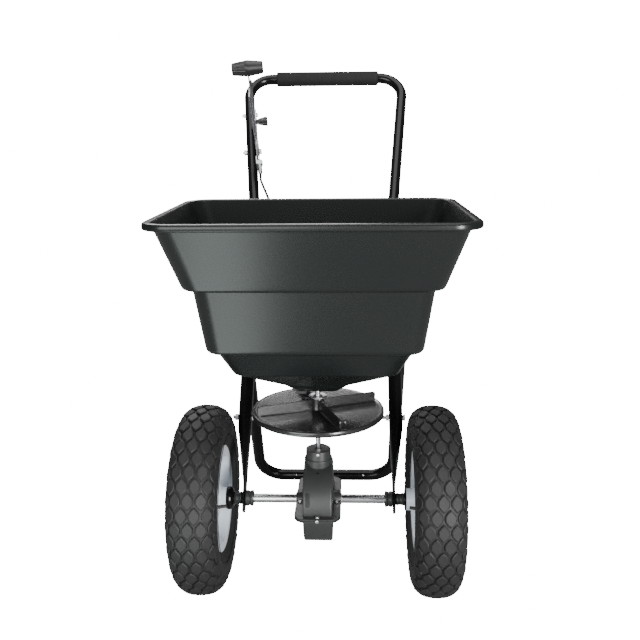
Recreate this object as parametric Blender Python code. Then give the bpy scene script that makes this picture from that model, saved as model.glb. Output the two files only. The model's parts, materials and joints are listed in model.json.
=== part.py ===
"""Walk-behind broadcast spreader: every piece of the machine as its own closed solid.

Metres, +Z up, -Y forward (the front of the hopper), +Y towards the operator.
Pieces are laid out about the point on the ground under the middle of the axle, then the whole
machine is moved back so that the origin is the middle of its footprint box.
"""

from math import acos, cos, pi, radians, sin, tan

import bmesh
import bpy
from mathutils import Matrix, Vector

# ---------------------------------------------------------------- driving dimensions
GAP = 0.0003              # clearance between faceted pieces that touch

WHEEL_R = 0.165           # 13 inch pneumatic wheel
VALVE_TURN = radians(78)   # the valve stands this far forward of the top of its wheel
WHEEL_X = 0.2015          # middle of each tyre
TYRE_HALF = 0.043         # half the tyre's section width
RIM_R = 0.0935            # rim flange
RIM_SEAT_R = 0.077        # rim barrel, outside
RIM_HALF = 0.0335         # half the rim's width
HUB_R = 0.0195
HUB_IN = 0.0510           # hub, from the wheel's middle towards the frame
HUB_OUT = 0.0300          # and away from it
AXLE_R = 0.008
AXLE_END = 0.2430

PLATE_X = 0.1325          # flattened end of each side tube, on the axle
PLATE_T = 0.0060
PLATE_W = 0.0360
TUBE_R = 0.0127           # side tubes and stand
HANDLE_R = 0.0111         # handle tube, slides into the side tubes
SIDE_LEAN = radians(38.2) # side tubes lean back from the vertical
SIDE_LENGTH = 0.520       # axle to the top of the side tube
SIDE_X = 0.1390            # a side tube's centre line, above its drawn-in foot
CRIMP_FROM, CRIMP_TO = 0.0240, 0.1300     # where the flattened foot turns into full tube
SOCKET = 0.070            # length of handle held in each side tube
HANDLE_LENGTH = 0.943     # axle to the middle of the top bar, along the lean
HANDLE_CORNER_X = 0.1745
HANDLE_BEND = 0.050
GRIP_R = 0.0158
GRIP_FROM, GRIP_TO = -0.1100, 0.1180

STAND_X = 0.1530
STAND_FOOT_Y = 0.4170
STAND_BEND = 0.055
STAND_LAP = 0.080         # length of stand leg that lies along the side tube
STAND_JOIN = 0.364        # where the lap starts, from the axle along the side tube
STAND_FLAT = 0.0080       # thickness of the flattened lap
STAND_BOLTS = (0.020, 0.060)   # along the lap

TIE_AT = 0.149            # tie rod, from the axle along the side tube
TIE_R = 0.0035
BOLT_R = 0.0040

SHAFT_R = 0.0045
SHAFT_TOP = 0.4080
DISC_R = 0.1138
DISC_TOP = 0.3350
DISC_T = 0.0030
DISC_SKIRT = 0.0080
VANE_H = 0.0170
VANE_T = 0.0028
VANE_COUNT = 4
VANE_AT = radians(22)
IMPELLER_HUB_R = 0.0110
IMPELLER_HUB_TOP = 0.3565

CROWN_TEETH = 36
PINION_TEETH = 8
CROWN_MEAN_R = 0.0555     # middle of the crown gear's teeth
CROWN_FACE = 0.0100       # length of those teeth, along the radius
TOOTH_DEPTH = 0.0055
CASE_R = 0.0720
CASE_HALF = 0.0250
CASE_WALL = 0.0028
NECK_R = 0.0219
NECK_TOP = 0.2610
FLANGE_X, FLANGE_Y, FLANGE_T = 0.0395, 0.0840, 0.0032
BOSS_R = 0.0145
BUSH_R = 0.0102

HOPPER_WALL = 0.0030
HOPPER_TOP = 0.6755
HOPPER_FLOOR = 0.3780
HOPPER_LONGER = 0.0530    # half width less half depth
LIP_X = 0.2450            # half width over the lip
LIP_DROP = 0.0100
STEP_HIGH, STEP_LOW = 0.5680, 0.4630

GATE_X = -0.0280          # middle of the discharge window
WINDOW_X, WINDOW_Y = 0.0070, 0.0105
GATE_T = 0.0015
GUIDE_BACK = 0.1010

PIVOT_AT = 0.744          # lever pivot, from the axle along the handle
PLATE_THICK = 0.0020
LEVER_THICK = 0.0025
LEVER_LENGTH = 0.200
LEVER_REST = radians(72.5)   # lever, from the handle's direction, towards the front
LEVER_OPENS = radians(28)
STOP_R = 0.065
STOP_REST = radians(22.6)
STOP_TRAVEL = radians(35)
EAR_R = 0.040
EAR_REST = radians(113.2)
WIRE_R = 0.0009
SHEATH_R = 0.0027
BARREL_R, BARREL_BORE, BARREL_LENGTH = 0.0045, 0.0022, 0.0300

# ---------------------------------------------------------------- derived places
LEAN = Vector((0, sin(SIDE_LEAN), cos(SIDE_LEAN)))
HANDLE_FROM = SIDE_LENGTH + 0.020
HANDLE_SPREAD = (HANDLE_CORNER_X - SIDE_X) / (HANDLE_LENGTH - HANDLE_FROM)
BACK_Y = HANDLE_LENGTH * sin(SIDE_LEAN) + GRIP_R
FRONT_Y = -(LIP_X - HOPPER_LONGER)
MIDDLE_Y = (BACK_Y + FRONT_Y) / 2


def on_side(along, side, out=0.0):
    """A point on a side tube's centre line, `along` metres from the axle."""
    share = min(1.0, max(0.0, (along - CRIMP_FROM) / (CRIMP_TO - CRIMP_FROM)))
    x = PLATE_X + (SIDE_X - PLATE_X) * share + out
    return Vector((side * x, 0, WHEEL_R)) + LEAN * along


def on_handle(along, side):
    """A point on a handle leg's centre line, `along` metres from the axle."""
    x = SIDE_X + HANDLE_SPREAD * (along - HANDLE_FROM)
    return Vector((side * x, 0, WHEEL_R)) + LEAN * along


# ---------------------------------------------------------------- materials
def material(name, colour, roughness, metallic=0.0):
    made = bpy.data.materials.new(name)
    made.use_nodes = True
    shader = made.node_tree.nodes["Principled BSDF"]
    shader.inputs["Base Color"].default_value = (*colour, 1)
    shader.inputs["Roughness"].default_value = roughness
    shader.inputs["Metallic"].default_value = metallic
    return made


for existing in list(bpy.data.objects):
    bpy.data.objects.remove(existing, do_unlink=True)

BLACK_PAINT = material("black_paint", (0.012, 0.012, 0.013), 0.25)
HOPPER_PLASTIC = material("hopper_plastic", (0.030, 0.034, 0.033), 0.45)
CASE_PLASTIC = material("case_plastic", (0.022, 0.022, 0.023), 0.5)
DISC_PLASTIC = material("disc_plastic", (0.018, 0.018, 0.019), 0.35)
RUBBER = material("rubber", (0.020, 0.020, 0.020), 0.75)
RIM_PAINT = material("rim_paint", (0.78, 0.82, 0.86), 0.35)
ZINC = material("zinc", (0.72, 0.73, 0.75), 0.3, 1.0)
STEEL = material("steel", (0.6, 0.6, 0.61), 0.35, 1.0)
FOAM = material("foam", (0.020, 0.020, 0.021), 0.85)
KNOB_PLASTIC = material("knob_plastic", (0.015, 0.015, 0.016), 0.4)
GEAR_STEEL = material("gear_steel", (0.35, 0.35, 0.36), 0.45, 1.0)
GEAR_NYLON = material("gear_nylon", (0.62, 0.60, 0.52), 0.5)

machine = bpy.data.objects.new("machine", None)
machine.location = (0, -MIDDLE_Y, 0)
bpy.context.scene.collection.objects.link(machine)


# ---------------------------------------------------------------- modelling helpers
def place(name, bm, finish, at=None):
    """Turns a bmesh into a named object, facing out, at a matrix under the machine's empty."""
    bmesh.ops.recalc_face_normals(bm, faces=bm.faces)
    mesh = bpy.data.meshes.new(name)
    bm.to_mesh(mesh)
    bm.free()
    if finish:
        mesh.materials.append(finish)
    mesh.shade_smooth()
    mesh.set_sharp_from_angle(angle=radians(35))
    made = bpy.data.objects.new(name, mesh)
    bpy.context.scene.collection.objects.link(made)
    made.parent = machine
    if at is not None:
        made.matrix_local = at
    return made


def helper(bm, at=None):
    """A hidden shape, for a Boolean to add or to cut."""
    made = place("helper", bm, None, at)
    made.hide_render = True
    made.display_type = "WIRE"
    return made


def join(target, shapes, operation="UNION"):
    for shape in shapes:
        boolean = target.modifiers.new(operation.lower(), "BOOLEAN")
        boolean.operation = operation
        boolean.object = shape
        boolean.solver = "EXACT"
    return target


def cut(target, shapes):
    return join(target, shapes, "DIFFERENCE")


def loft(rings, closed=False):
    """Skins a row of rings that have the same number of points; the ends are capped unless it closes."""
    bm = bmesh.new()
    rows = [[bm.verts.new(point) for point in ring] for ring in rings]
    count = len(rows[0])
    pairs = list(zip(rows, rows[1:])) + ([(rows[-1], rows[0])] if closed else [])
    for near, far in pairs:
        for i in range(count):
            j = (i + 1) % count
            bm.faces.new((near[i], near[j], far[j], far[i]))
    if not closed:
        bm.faces.new(rows[0][::-1])
        bm.faces.new(rows[-1])
    return bm


def turned(profile, sides=32, axis="X"):
    """A closed (height, radius) outline turned about an axis into a ring."""
    rings = []
    for k in range(sides):
        c, s = cos(2 * pi * k / sides), sin(2 * pi * k / sides)
        if axis == "X":
            rings.append([(h, r * c, r * s) for h, r in profile])
        else:
            rings.append([(r * c, r * s, h) for h, r in profile])
    return loft(rings, closed=True)


def rod(start, end, radius, sides=24, twist=0.0, end_radius=None):
    """A round or, with six sides, hexagonal bar between two points."""
    start, end = Vector(start), Vector(end)
    axis = (end - start).normalized()
    up = Vector((0, 0, 1)) if abs(axis.z) < 0.9 else Vector((0, 1, 0))
    u = (up - axis * up.dot(axis)).normalized()
    v = axis.cross(u)
    rings = []
    for point, r in ((start, radius), (end, end_radius or radius)):
        turn = [twist + 2 * pi * k / sides for k in range(sides)]
        rings.append([point + (u * cos(t) + v * sin(t)) * r for t in turn])
    return loft(rings)


def block(low, high):
    bm = bmesh.new()
    bmesh.ops.create_cube(bm, size=1)
    low, high = Vector(low), Vector(high)
    bmesh.ops.scale(bm, vec=high - low, verts=bm.verts)
    bmesh.ops.translate(bm, vec=(high + low) / 2, verts=bm.verts)
    return bm


def slab(outline, low, high):
    """A flat outline of (x, y) points, extruded in z."""
    return loft([[(x, y, low) for x, y in outline], [(x, y, high) for x, y in outline]])


def rounded(half_x, half_y, radius, steps=4):
    """The outline of a rectangle with round corners."""
    points = []
    for quarter, (sx, sy) in enumerate(((1, 1), (-1, 1), (-1, -1), (1, -1))):
        for k in range(steps + 1):
            t = (quarter + k / steps) * pi / 2
            points.append((sx * (half_x - radius) + radius * cos(t),
                           sy * (half_y - radius) + radius * sin(t)))
    return points


def filleted(corners, radius, steps=6):
    """A route through corner points, with each inner corner rounded to an arc."""
    route = [Vector(corners[0])]
    for before, here, after in zip(corners, corners[1:], corners[2:]):
        here = Vector(here)
        back = (Vector(before) - here).normalized()
        ahead = (Vector(after) - here).normalized()
        half = acos(max(-1, min(1, back.dot(ahead)))) / 2
        middle = here + (back + ahead).normalized() * (radius / sin(half))
        reach = radius / tan(half)
        first, last = here + back * reach - middle, here + ahead * reach - middle
        swing = first.angle(last)
        for k in range(steps + 1):
            t = k / steps
            arm = first * (sin((1 - t) * swing) / sin(swing)) + last * (sin(t * swing) / sin(swing))
            route.append(middle + arm)
    route.append(Vector(corners[-1]))
    return route


def tube(route, sizes, sides=16, across=Vector((1, 0, 0))):
    """A bar swept along a route. sizes gives (half across, half other way) at each point."""
    if isinstance(sizes, float):
        sizes = [(sizes, sizes)] * len(route)
    rings = []
    for i, point in enumerate(route):
        ahead = route[min(i + 1, len(route) - 1)] - route[max(i - 1, 0)]
        ahead.normalize()
        if i == 0 or i == len(route) - 1:
            stretch = 1.0
        else:
            one = (route[i] - route[i - 1]).normalized()
            two = (route[i + 1] - route[i]).normalized()
            stretch = 1 / max(0.5, cos(one.angle(two) / 2))
        u = across - ahead * across.dot(ahead)
        if u.length < 0.3:
            u = carried - ahead * carried.dot(ahead)
        u.normalize()
        if i and u.dot(carried) < 0:
            u = -u
        if i and abs(u.dot(carried)) < 0.7:
            u = (carried - ahead * carried.dot(ahead)).normalized()
        carried = u
        v = ahead.cross(u)
        a, b = sizes[i]
        turn = [2 * pi * k / sides for k in range(sides)]
        rings.append([point + u * (a * cos(t)) + v * (b * sin(t)) for t in turn])
    return loft(rings)


def bolt(name, head_at, tip_at, radius, finish=ZINC, nut=None):
    """A hexagon bolt along a line; nut is the distance of its nut's near face from the head."""
    head_at, tip_at = Vector(head_at), Vector(tip_at)
    axis = (tip_at - head_at).normalized()
    made = place(name, rod(head_at - axis * radius * 0.2, tip_at, radius, 10), finish)
    shapes = [helper(rod(head_at - axis * radius * 1.3, head_at, radius * 1.8, 6))]
    if nut is not None:
        low = head_at + axis * nut
        shapes.append(helper(rod(low, low + axis * radius * 1.6, radius * 1.8, 6)))
    return join(made, shapes)


# ---------------------------------------------------------------- wheels and axle
def tyre_profile():
    """The C section of a tyre, open between its beads, as (offset, radius) points."""
    seat = RIM_SEAT_R + GAP
    inner = RIM_HALF - 0.0035
    outer = [(inner, seat), (inner, RIM_R + 0.0006), (TYRE_HALF * 0.96, 0.1060),
             (TYRE_HALF, 0.1300), (TYRE_HALF * 0.90, 0.1520), (TYRE_HALF * 0.60, WHEEL_R - 0.0020),
             (0, WHEEL_R)]
    liner = [(TYRE_HALF * 0.66, WHEEL_R - 0.0170), (TYRE_HALF * 0.80, 0.1200), (inner - 0.0065, seat)]
    side = [(-x, r) for x, r in outer[:-1]]
    inside = [(-x, r) for x, r in liner]
    return side + outer[::-1] + liner[::-1] + inside


def rim_profile():
    """Hub, web and barrel of a wheel; negative offsets face the frame."""
    bore = AXLE_R + GAP
    web = 0.0030
    barrel = RIM_SEAT_R - 0.0028
    lip = RIM_HALF - 0.0030
    inward = [(-HUB_IN, bore), (-HUB_IN, HUB_R), (-web, HUB_R), (-web, barrel), (-RIM_HALF, barrel),
              (-RIM_HALF, RIM_R), (-lip, RIM_R), (-lip, RIM_SEAT_R)]
    outward = [(-x, r) for x, r in inward[:1:-1]]
    return inward + outward + [(HUB_OUT, HUB_R), (HUB_OUT, bore)]


def wheels():
    for side, word in ((-1, "left"), (1, "right")):
        at = Matrix.Translation((side * WHEEL_X, 0, WHEEL_R)) @ Matrix.Diagonal((side, 1, 1, 1))
        place(f"tyre_{word}", turned(flipped(tyre_profile(), side), 36), RUBBER,
              Matrix.Translation((side * WHEEL_X, 0, WHEEL_R)))
        rim = place(f"rim_{word}", turned(flipped(rim_profile(), side), 30), RIM_PAINT,
                    Matrix.Translation((side * WHEEL_X, 0, WHEEL_R)))
        stem_at = at @ Vector((-RIM_HALF * 0.55, 0, RIM_SEAT_R - 0.0016))
        inward = Vector((-side, 0, -0.55)).normalized()
        foot = stem_at + Vector((0, 0, 0.0008))
        hub = Vector((0, 0, WHEEL_R))
        forward = Matrix.Translation(hub) @ Matrix.Rotation(VALVE_TURN, 4, "X") @ Matrix.Translation(-hub)
        cut(rim, [helper(rod(forward @ (foot + Vector((0, 0, 0.0060))), forward @ (foot - Vector((0, 0, 0.0120))),
                             0.0043, 12))])
        neck = foot - Vector((0, 0, 0.0085))
        route = filleted([foot, neck, neck + inward * 0.030], 0.006, 3)
        sizes = [(0.0038, 0.0038)] * (len(route) - 1) + [(0.0028, 0.0028)]
        place(f"valve_{word}", tube(route, sizes, 10, Vector((0, 1, 0))), RUBBER, forward)


def flipped(profile, side):
    return profile if side > 0 else [(-x, r) for x, r in profile]


def axle():
    made = place("axle", rod((-AXLE_END, 0, WHEEL_R), (AXLE_END, 0, WHEEL_R), AXLE_R, 20, pi / 20), ZINC)
    holes = []
    for side, word in ((-1, "left"), (1, "right")):
        x = side * (WHEEL_X + HUB_OUT + 0.0052)
        holes.append(helper(rod((x, 0, WHEEL_R - 0.03), (x, 0, WHEEL_R + 0.03), 0.0019, 12)))
        pin = place(f"cotter_{word}", rod((x, 0, WHEEL_R - 0.0150), (x, 0, WHEEL_R + 0.0120),
                                          0.0016, 10), STEEL)
        join(pin, [helper(turned([(-0.0014, 0.0030), (0.0014, 0.0030), (0.0014, 0.0058),
                                  (-0.0014, 0.0058)], 16),
                          Matrix.Translation((x, 0, WHEEL_R + 0.0160)))])
    drive_x = -(WHEEL_X + HUB_OUT * 0.60)
    drive = rod((drive_x, 0, WHEEL_R - 0.0240), (drive_x, 0, WHEEL_R + 0.0215), 0.0028, 12)
    pin = place("drive_pin", drive, STEEL)
    join(pin, [helper(rod((drive_x, 0, WHEEL_R + 0.0205), (drive_x, 0, WHEEL_R + 0.0250), 0.0052, 6))])
    hole = helper(rod((drive_x, 0, WHEEL_R - 0.04), (drive_x, 0, WHEEL_R + 0.04), 0.0031, 12))
    cut(bpy.data.objects["rim_left"], [hole])
    gear_x = 0.0075
    gear_hole = helper(rod((gear_x, -0.03, WHEEL_R), (gear_x, 0.03, WHEEL_R), 0.0023, 12))
    cut(made, holes + [hole, gear_hole])
    cut(bpy.data.objects["crown_gear"], [gear_hole])
    place("gear_pin", rod((gear_x, -0.0150, WHEEL_R), (gear_x, 0.0150, WHEEL_R), 0.0020, 12), STEEL)


def axle_bearings():
    """A flanged bush in each side tube's flattened end, and a spacer up to the hub."""
    bore = AXLE_R + GAP
    for side, word in ((-1, "left"), (1, "right")):
        inner = PLATE_X - PLATE_T / 2 - GAP
        outer = PLATE_X + PLATE_T / 2
        bush = [(inner - 0.0130, bore), (inner - 0.0130, 0.0140), (inner, 0.0140),
                (inner, BUSH_R), (outer, BUSH_R), (outer, bore)]
        place(f"axle_bearing_{word}", turned([(side * x, r) for x, r in bush], 20), CASE_PLASTIC,
              Matrix.Translation((0, 0, WHEEL_R)))
        end = WHEEL_X - HUB_IN - 0.0004
        spacer = [(outer + GAP, bore), (outer + GAP, 0.0115), (end, 0.0115), (end, bore)]
        place(f"hub_spacer_{word}", turned([(side * x, r) for x, r in spacer], 20), CASE_PLASTIC,
              Matrix.Translation((0, 0, WHEEL_R)))


# ---------------------------------------------------------------- gears and their case
PINION_MEAN_R = CROWN_MEAN_R * PINION_TEETH / CROWN_TEETH
CROWN_BACK = PINION_MEAN_R + TOOTH_DEPTH * 0.56
PINION_LOW = WHEEL_R + CROWN_MEAN_R - CROWN_FACE / 2


def crown_gear():
    """A disc on the axle whose left face carries radial teeth, one of them pointing up."""
    bore, hub = AXLE_R + GAP, 0.0150
    low, high = CROWN_MEAN_R - CROWN_FACE / 2, CROWN_MEAN_R + CROWN_FACE / 2
    section = [(0.0015, bore), (0.0015, hub), (CROWN_BACK, hub + 0.004), (CROWN_BACK, high),
               (CROWN_BACK + 0.0045, high), (CROWN_BACK + 0.0045, bore)]
    made = place("crown_gear", turned(section, CROWN_TEETH), GEAR_NYLON,
                 Matrix.Translation((0, 0, WHEEL_R)))
    pitch = 2 * pi * CROWN_MEAN_R / CROWN_TEETH
    tip, foot = pitch * 0.17, pitch * 0.26
    teeth = bmesh.new()
    for tooth in range(CROWN_TEETH):
        turn = Matrix.Rotation(2 * pi * tooth / CROWN_TEETH, 4, "X")
        ends = []
        for z in (low + 0.0003, high - 0.0003):
            ends.append([(CROWN_BACK + 0.0010, -foot, z), (CROWN_BACK - TOOTH_DEPTH, -tip, z),
                         (CROWN_BACK - TOOTH_DEPTH, tip, z), (CROWN_BACK + 0.0010, foot, z)])
        rows = [[teeth.verts.new(turn @ Vector(point)) for point in end] for end in ends]
        for i in range(4):
            j = (i + 1) % 4
            teeth.faces.new((rows[0][i], rows[0][j], rows[1][j], rows[1][i]))
        teeth.faces.new(rows[0][::-1])
        teeth.faces.new(rows[1])
    join(made, [helper(teeth, Matrix.Translation((0, 0, WHEEL_R)))])


def pinion():
    """A small upright gear, with a gap between two of its teeth facing the crown gear."""
    root, tip = PINION_MEAN_R - TOOTH_DEPTH * 0.52, PINION_MEAN_R + TOOTH_DEPTH * 0.42
    outline = []
    for tooth in range(PINION_TEETH):
        for share, r in ((-0.25, root), (-0.11, tip), (0.11, tip), (0.25, root)):
            t = 2 * pi * (tooth + 0.5 + share) / PINION_TEETH
            outline.append((r * cos(t), r * sin(t)))
    made = place("pinion", slab(outline, PINION_LOW, PINION_LOW + CROWN_FACE + 0.001), GEAR_STEEL)
    join(made, [helper(rod((0, 0, PINION_LOW + 0.008), (0, 0, PINION_LOW + 0.0190), 0.0086, 20))])
    cut(made, [helper(rod((0, 0, PINION_LOW - 0.01), (0, 0, PINION_LOW + 0.03), SHAFT_R + GAP, 20))])


def case_half(name, upper):
    """Half of the gear case, split level with the axle."""
    sign = 1 if upper else -1
    drum = rod((-CASE_HALF, 0, WHEEL_R), (CASE_HALF, 0, WHEEL_R), CASE_R, 32)
    made = place(name, drum, CASE_PLASTIC)
    face = WHEEL_R + sign * GAP / 2
    plate = slab(rounded(FLANGE_X, FLANGE_Y, 0.020, 4), *sorted((face, face + sign * FLANGE_T)))
    shapes = [helper(plate),
              helper(rod((-FLANGE_X, 0, WHEEL_R), (FLANGE_X, 0, WHEEL_R), BOSS_R, 20))]
    inside = CASE_HALF - CASE_WALL
    hollows = [helper(rod((-inside, 0, WHEEL_R), (inside, 0, WHEEL_R), CASE_R - 0.0045, 32)),
               helper(rod((-0.06, 0, WHEEL_R), (0.06, 0, WHEEL_R), BUSH_R + GAP, 18))]
    if upper:
        shoulder = NECK_TOP - 0.0150
        shapes += [helper(rod((0, 0, WHEEL_R + 0.050), (0, 0, NECK_TOP), NECK_R, 20)),
                   helper(rod((0, 0, WHEEL_R + 0.040), (0, 0, shoulder), NECK_R + 0.0026, 20))]
        hollows += [helper(rod((0, 0, WHEEL_R + 0.03), (0, 0, NECK_TOP - 0.0110), 0.0172, 20)),
                    helper(rod((0, 0, WHEEL_R), (0, 0, NECK_TOP + 0.01), SHAFT_R + GAP, 20))]
        for x, y, r in case_screws():
            hollows.append(helper(rod((x, y, WHEEL_R - 0.01), (x, y, WHEEL_R + 0.01), r + GAP, 8)))
    other = sorted((face, WHEEL_R - sign * 0.2))
    hollows.append(helper(block((-0.1, -0.1, other[0]), (0.1, 0.1, other[1]))))
    if not upper:
        for x, y, r in case_screws():
            hollows.append(helper(rod((x, y, WHEEL_R - 0.01), (x, y, WHEEL_R + 0.01), r + GAP, 8)))
    cut(join(made, shapes), hollows)


def case_screws():
    """(x, y, radius) of the case's screws, around its flange."""
    front = FLANGE_Y - 0.0060
    return [(0, -front, 0.0022), (0, front, 0.0022), (-0.0320, -0.0225, 0.0022),
            (0.0320, -0.0225, 0.0022)]


def gear_case():
    case_half("gear_case_upper", True)
    case_half("gear_case_lower", False)
    words = ("front", "rear", "left", "right")
    for word, (x, y, r) in zip(words, case_screws()):
        top = WHEEL_R + GAP / 2 + FLANGE_T + GAP
        bolt(f"case_screw_{word}", (x, y, top), (x, y, WHEEL_R - 0.0095), r, ZINC)
    for side, word in ((-1, "left"), (1, "right")):
        low, high = CASE_HALF - 0.0020, FLANGE_X + 0.0010
        ring = [(side * low, AXLE_R + GAP), (side * low, BUSH_R), (side * high, BUSH_R),
                (side * high, AXLE_R + GAP)]
        place(f"case_bush_{word}", turned(ring, 18), STEEL, Matrix.Translation((0, 0, WHEEL_R)))


# ---------------------------------------------------------------- spinner
def spinner():
    place_shaft = rod((0, 0, PINION_LOW - 0.0020), (0, 0, SHAFT_TOP), SHAFT_R, 20)
    shaft = place("impeller_shaft", place_shaft, ZINC)
    skirt = DISC_TOP - DISC_SKIRT
    edge = [(DISC_TOP - DISC_T, SHAFT_R + GAP), (DISC_TOP - DISC_T, DISC_R - 0.0060),
            (skirt, DISC_R - 0.0030), (skirt, DISC_R), (DISC_TOP - 0.0010, DISC_R - 0.0010),
            (DISC_TOP, DISC_R - 0.0030), (DISC_TOP, IMPELLER_HUB_R),
            (IMPELLER_HUB_TOP, IMPELLER_HUB_R - 0.0008), (IMPELLER_HUB_TOP, SHAFT_R + GAP)]
    disc = place("impeller", turned(edge, 44, "Z"), DISC_PLASTIC)
    vanes = []
    for k in range(VANE_COUNT):
        turn = Matrix.Rotation(VANE_AT + 2 * pi * k / VANE_COUNT, 4, "Z")
        low, high = DISC_TOP - 0.0015, DISC_TOP + VANE_H
        face = [(0.0085, low), (DISC_R - 0.0055, low), (DISC_R - 0.0055, high - 0.0040),
                (DISC_R - 0.0090, high), (0.0085, high)]
        rings = [[(x, y, z) for x, z in face] for y in (-VANE_T / 2, VANE_T / 2)]
        vanes.append(helper(loft(rings), turn))
    join(disc, vanes)
    pin_z = DISC_TOP + 0.0125
    pin_dir = Matrix.Rotation(radians(-23), 4, "Z") @ Vector((1, 0, 0))
    across = helper(rod(Vector((0, 0, pin_z)) - pin_dir * 0.03, Vector((0, 0, pin_z)) + pin_dir * 0.03,
                        0.0015, 10))
    cut(disc, [across])
    agitator_z = HOPPER_FLOOR + HOPPER_WALL + 0.0200
    cut(shaft, [across])
    start = Vector((0, 0, pin_z)) - pin_dir * 0.0175
    clip = place("impeller_pin", rod(start, start + pin_dir * 0.0345, 0.0012, 10), STEEL)
    join(clip, [helper(turned([(-0.0010, 0.0022), (0.0010, 0.0022), (0.0010, 0.0042),
                               (-0.0010, 0.0042)], 14),
                       Matrix.Translation(start - pin_dir * 0.0030) @ Matrix.Rotation(pi / 2, 4, "Z"))])
    washer = [(IMPELLER_HUB_TOP + GAP, 0.0082), (IMPELLER_HUB_TOP + GAP, 0.0155),
              (IMPELLER_HUB_TOP + GAP + 0.0012, 0.0155), (IMPELLER_HUB_TOP + GAP + 0.0012, 0.0082)]
    place("thrust_washer", turned(washer, 24, "Z"), ZINC)
    collar = [(agitator_z - 0.0060, SHAFT_R + GAP), (agitator_z - 0.0060, 0.0090),
              (agitator_z + 0.0050, 0.0090), (agitator_z + 0.0050, SHAFT_R + GAP)]
    stirrer = place("agitator", turned(collar, 16, "Z"), STEEL)
    fingers = []
    for side in (-1, 1):
        knee = Vector((side * 0.0260, 0, agitator_z))
        route = filleted([(side * 0.0070, 0, agitator_z), knee, knee + Vector((0, 0, 0.0160))], 0.005, 3)
        fingers.append(helper(tube(route, 0.0019, 8, Vector((0, 1, 0)))))
    join(stirrer, fingers)


# ---------------------------------------------------------------- hopper and gate
def hopper_sections(inset, floor):
    """(half width, corner radius, height) of the hopper from its floor to its rim."""
    high_foot = STEP_HIGH + 0.0080
    return [(0.0380 - inset, 0.0140, floor), (0.0560 - inset, 0.0180, HOPPER_FLOOR + 0.0120),
            (0.1335 - inset, 0.0220, HOPPER_FLOOR + 0.0400),
            (0.1570 - inset, 0.0260, STEP_LOW + inset * 0.5),
            (0.1675 - inset, 0.0280, STEP_LOW + inset),
            (0.1710 - inset, 0.0290, STEP_LOW + 0.0060 + inset),
            (0.1850 - inset, 0.0310, STEP_HIGH + inset * 0.5),
            (0.1970 - inset, 0.0330, STEP_HIGH + 0.0010 + inset),
            (0.2000 - inset, 0.0340, high_foot + inset),
            (0.2330 - inset, 0.0350, HOPPER_TOP - 0.0040 + inset)]


def section_ring(half_x, radius, z):
    """One ring of the hopper: the floor is nearly square, and the rest is longer across."""
    half_y = half_x - HOPPER_LONGER * min(1.0, max(0.04, (half_x - 0.036) / 0.093))
    return [(x, y, z) for x, y in rounded(half_x, half_y, min(radius, half_y * 0.9))]


def hopper():
    outer = [section_ring(*row) for row in hopper_sections(0.0, HOPPER_FLOOR)]
    lip_low = HOPPER_TOP - LIP_DROP
    lip = [section_ring(LIP_X - 0.0030, 0.0430, HOPPER_TOP - 0.0040),
           section_ring(LIP_X - 0.0030, 0.0430, lip_low),
           section_ring(LIP_X, 0.0450, lip_low + 0.0012),
           section_ring(LIP_X, 0.0450, HOPPER_TOP - 0.0030),
           section_ring(LIP_X - 0.0030, 0.0430, HOPPER_TOP)]
    inner = [section_ring(*row) for row in hopper_sections(HOPPER_WALL, HOPPER_FLOOR + HOPPER_WALL)]
    brim = [section_ring(0.2330 - HOPPER_WALL * 0.4, 0.0350, HOPPER_TOP)]
    made = place("hopper", loft(outer + lip + brim + inner[::-1]), HOPPER_PLASTIC)
    window = helper(block((GATE_X - WINDOW_X, -WINDOW_Y, HOPPER_FLOOR - 0.01),
                          (GATE_X + WINDOW_X, WINDOW_Y, HOPPER_FLOOR + 0.012)))
    shaft_hole = helper(rod((0, 0, HOPPER_FLOOR - 0.01), (0, 0, HOPPER_FLOOR + 0.01), SHAFT_R + 0.0006, 20))
    cut(made, [window, shaft_hole])


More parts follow.
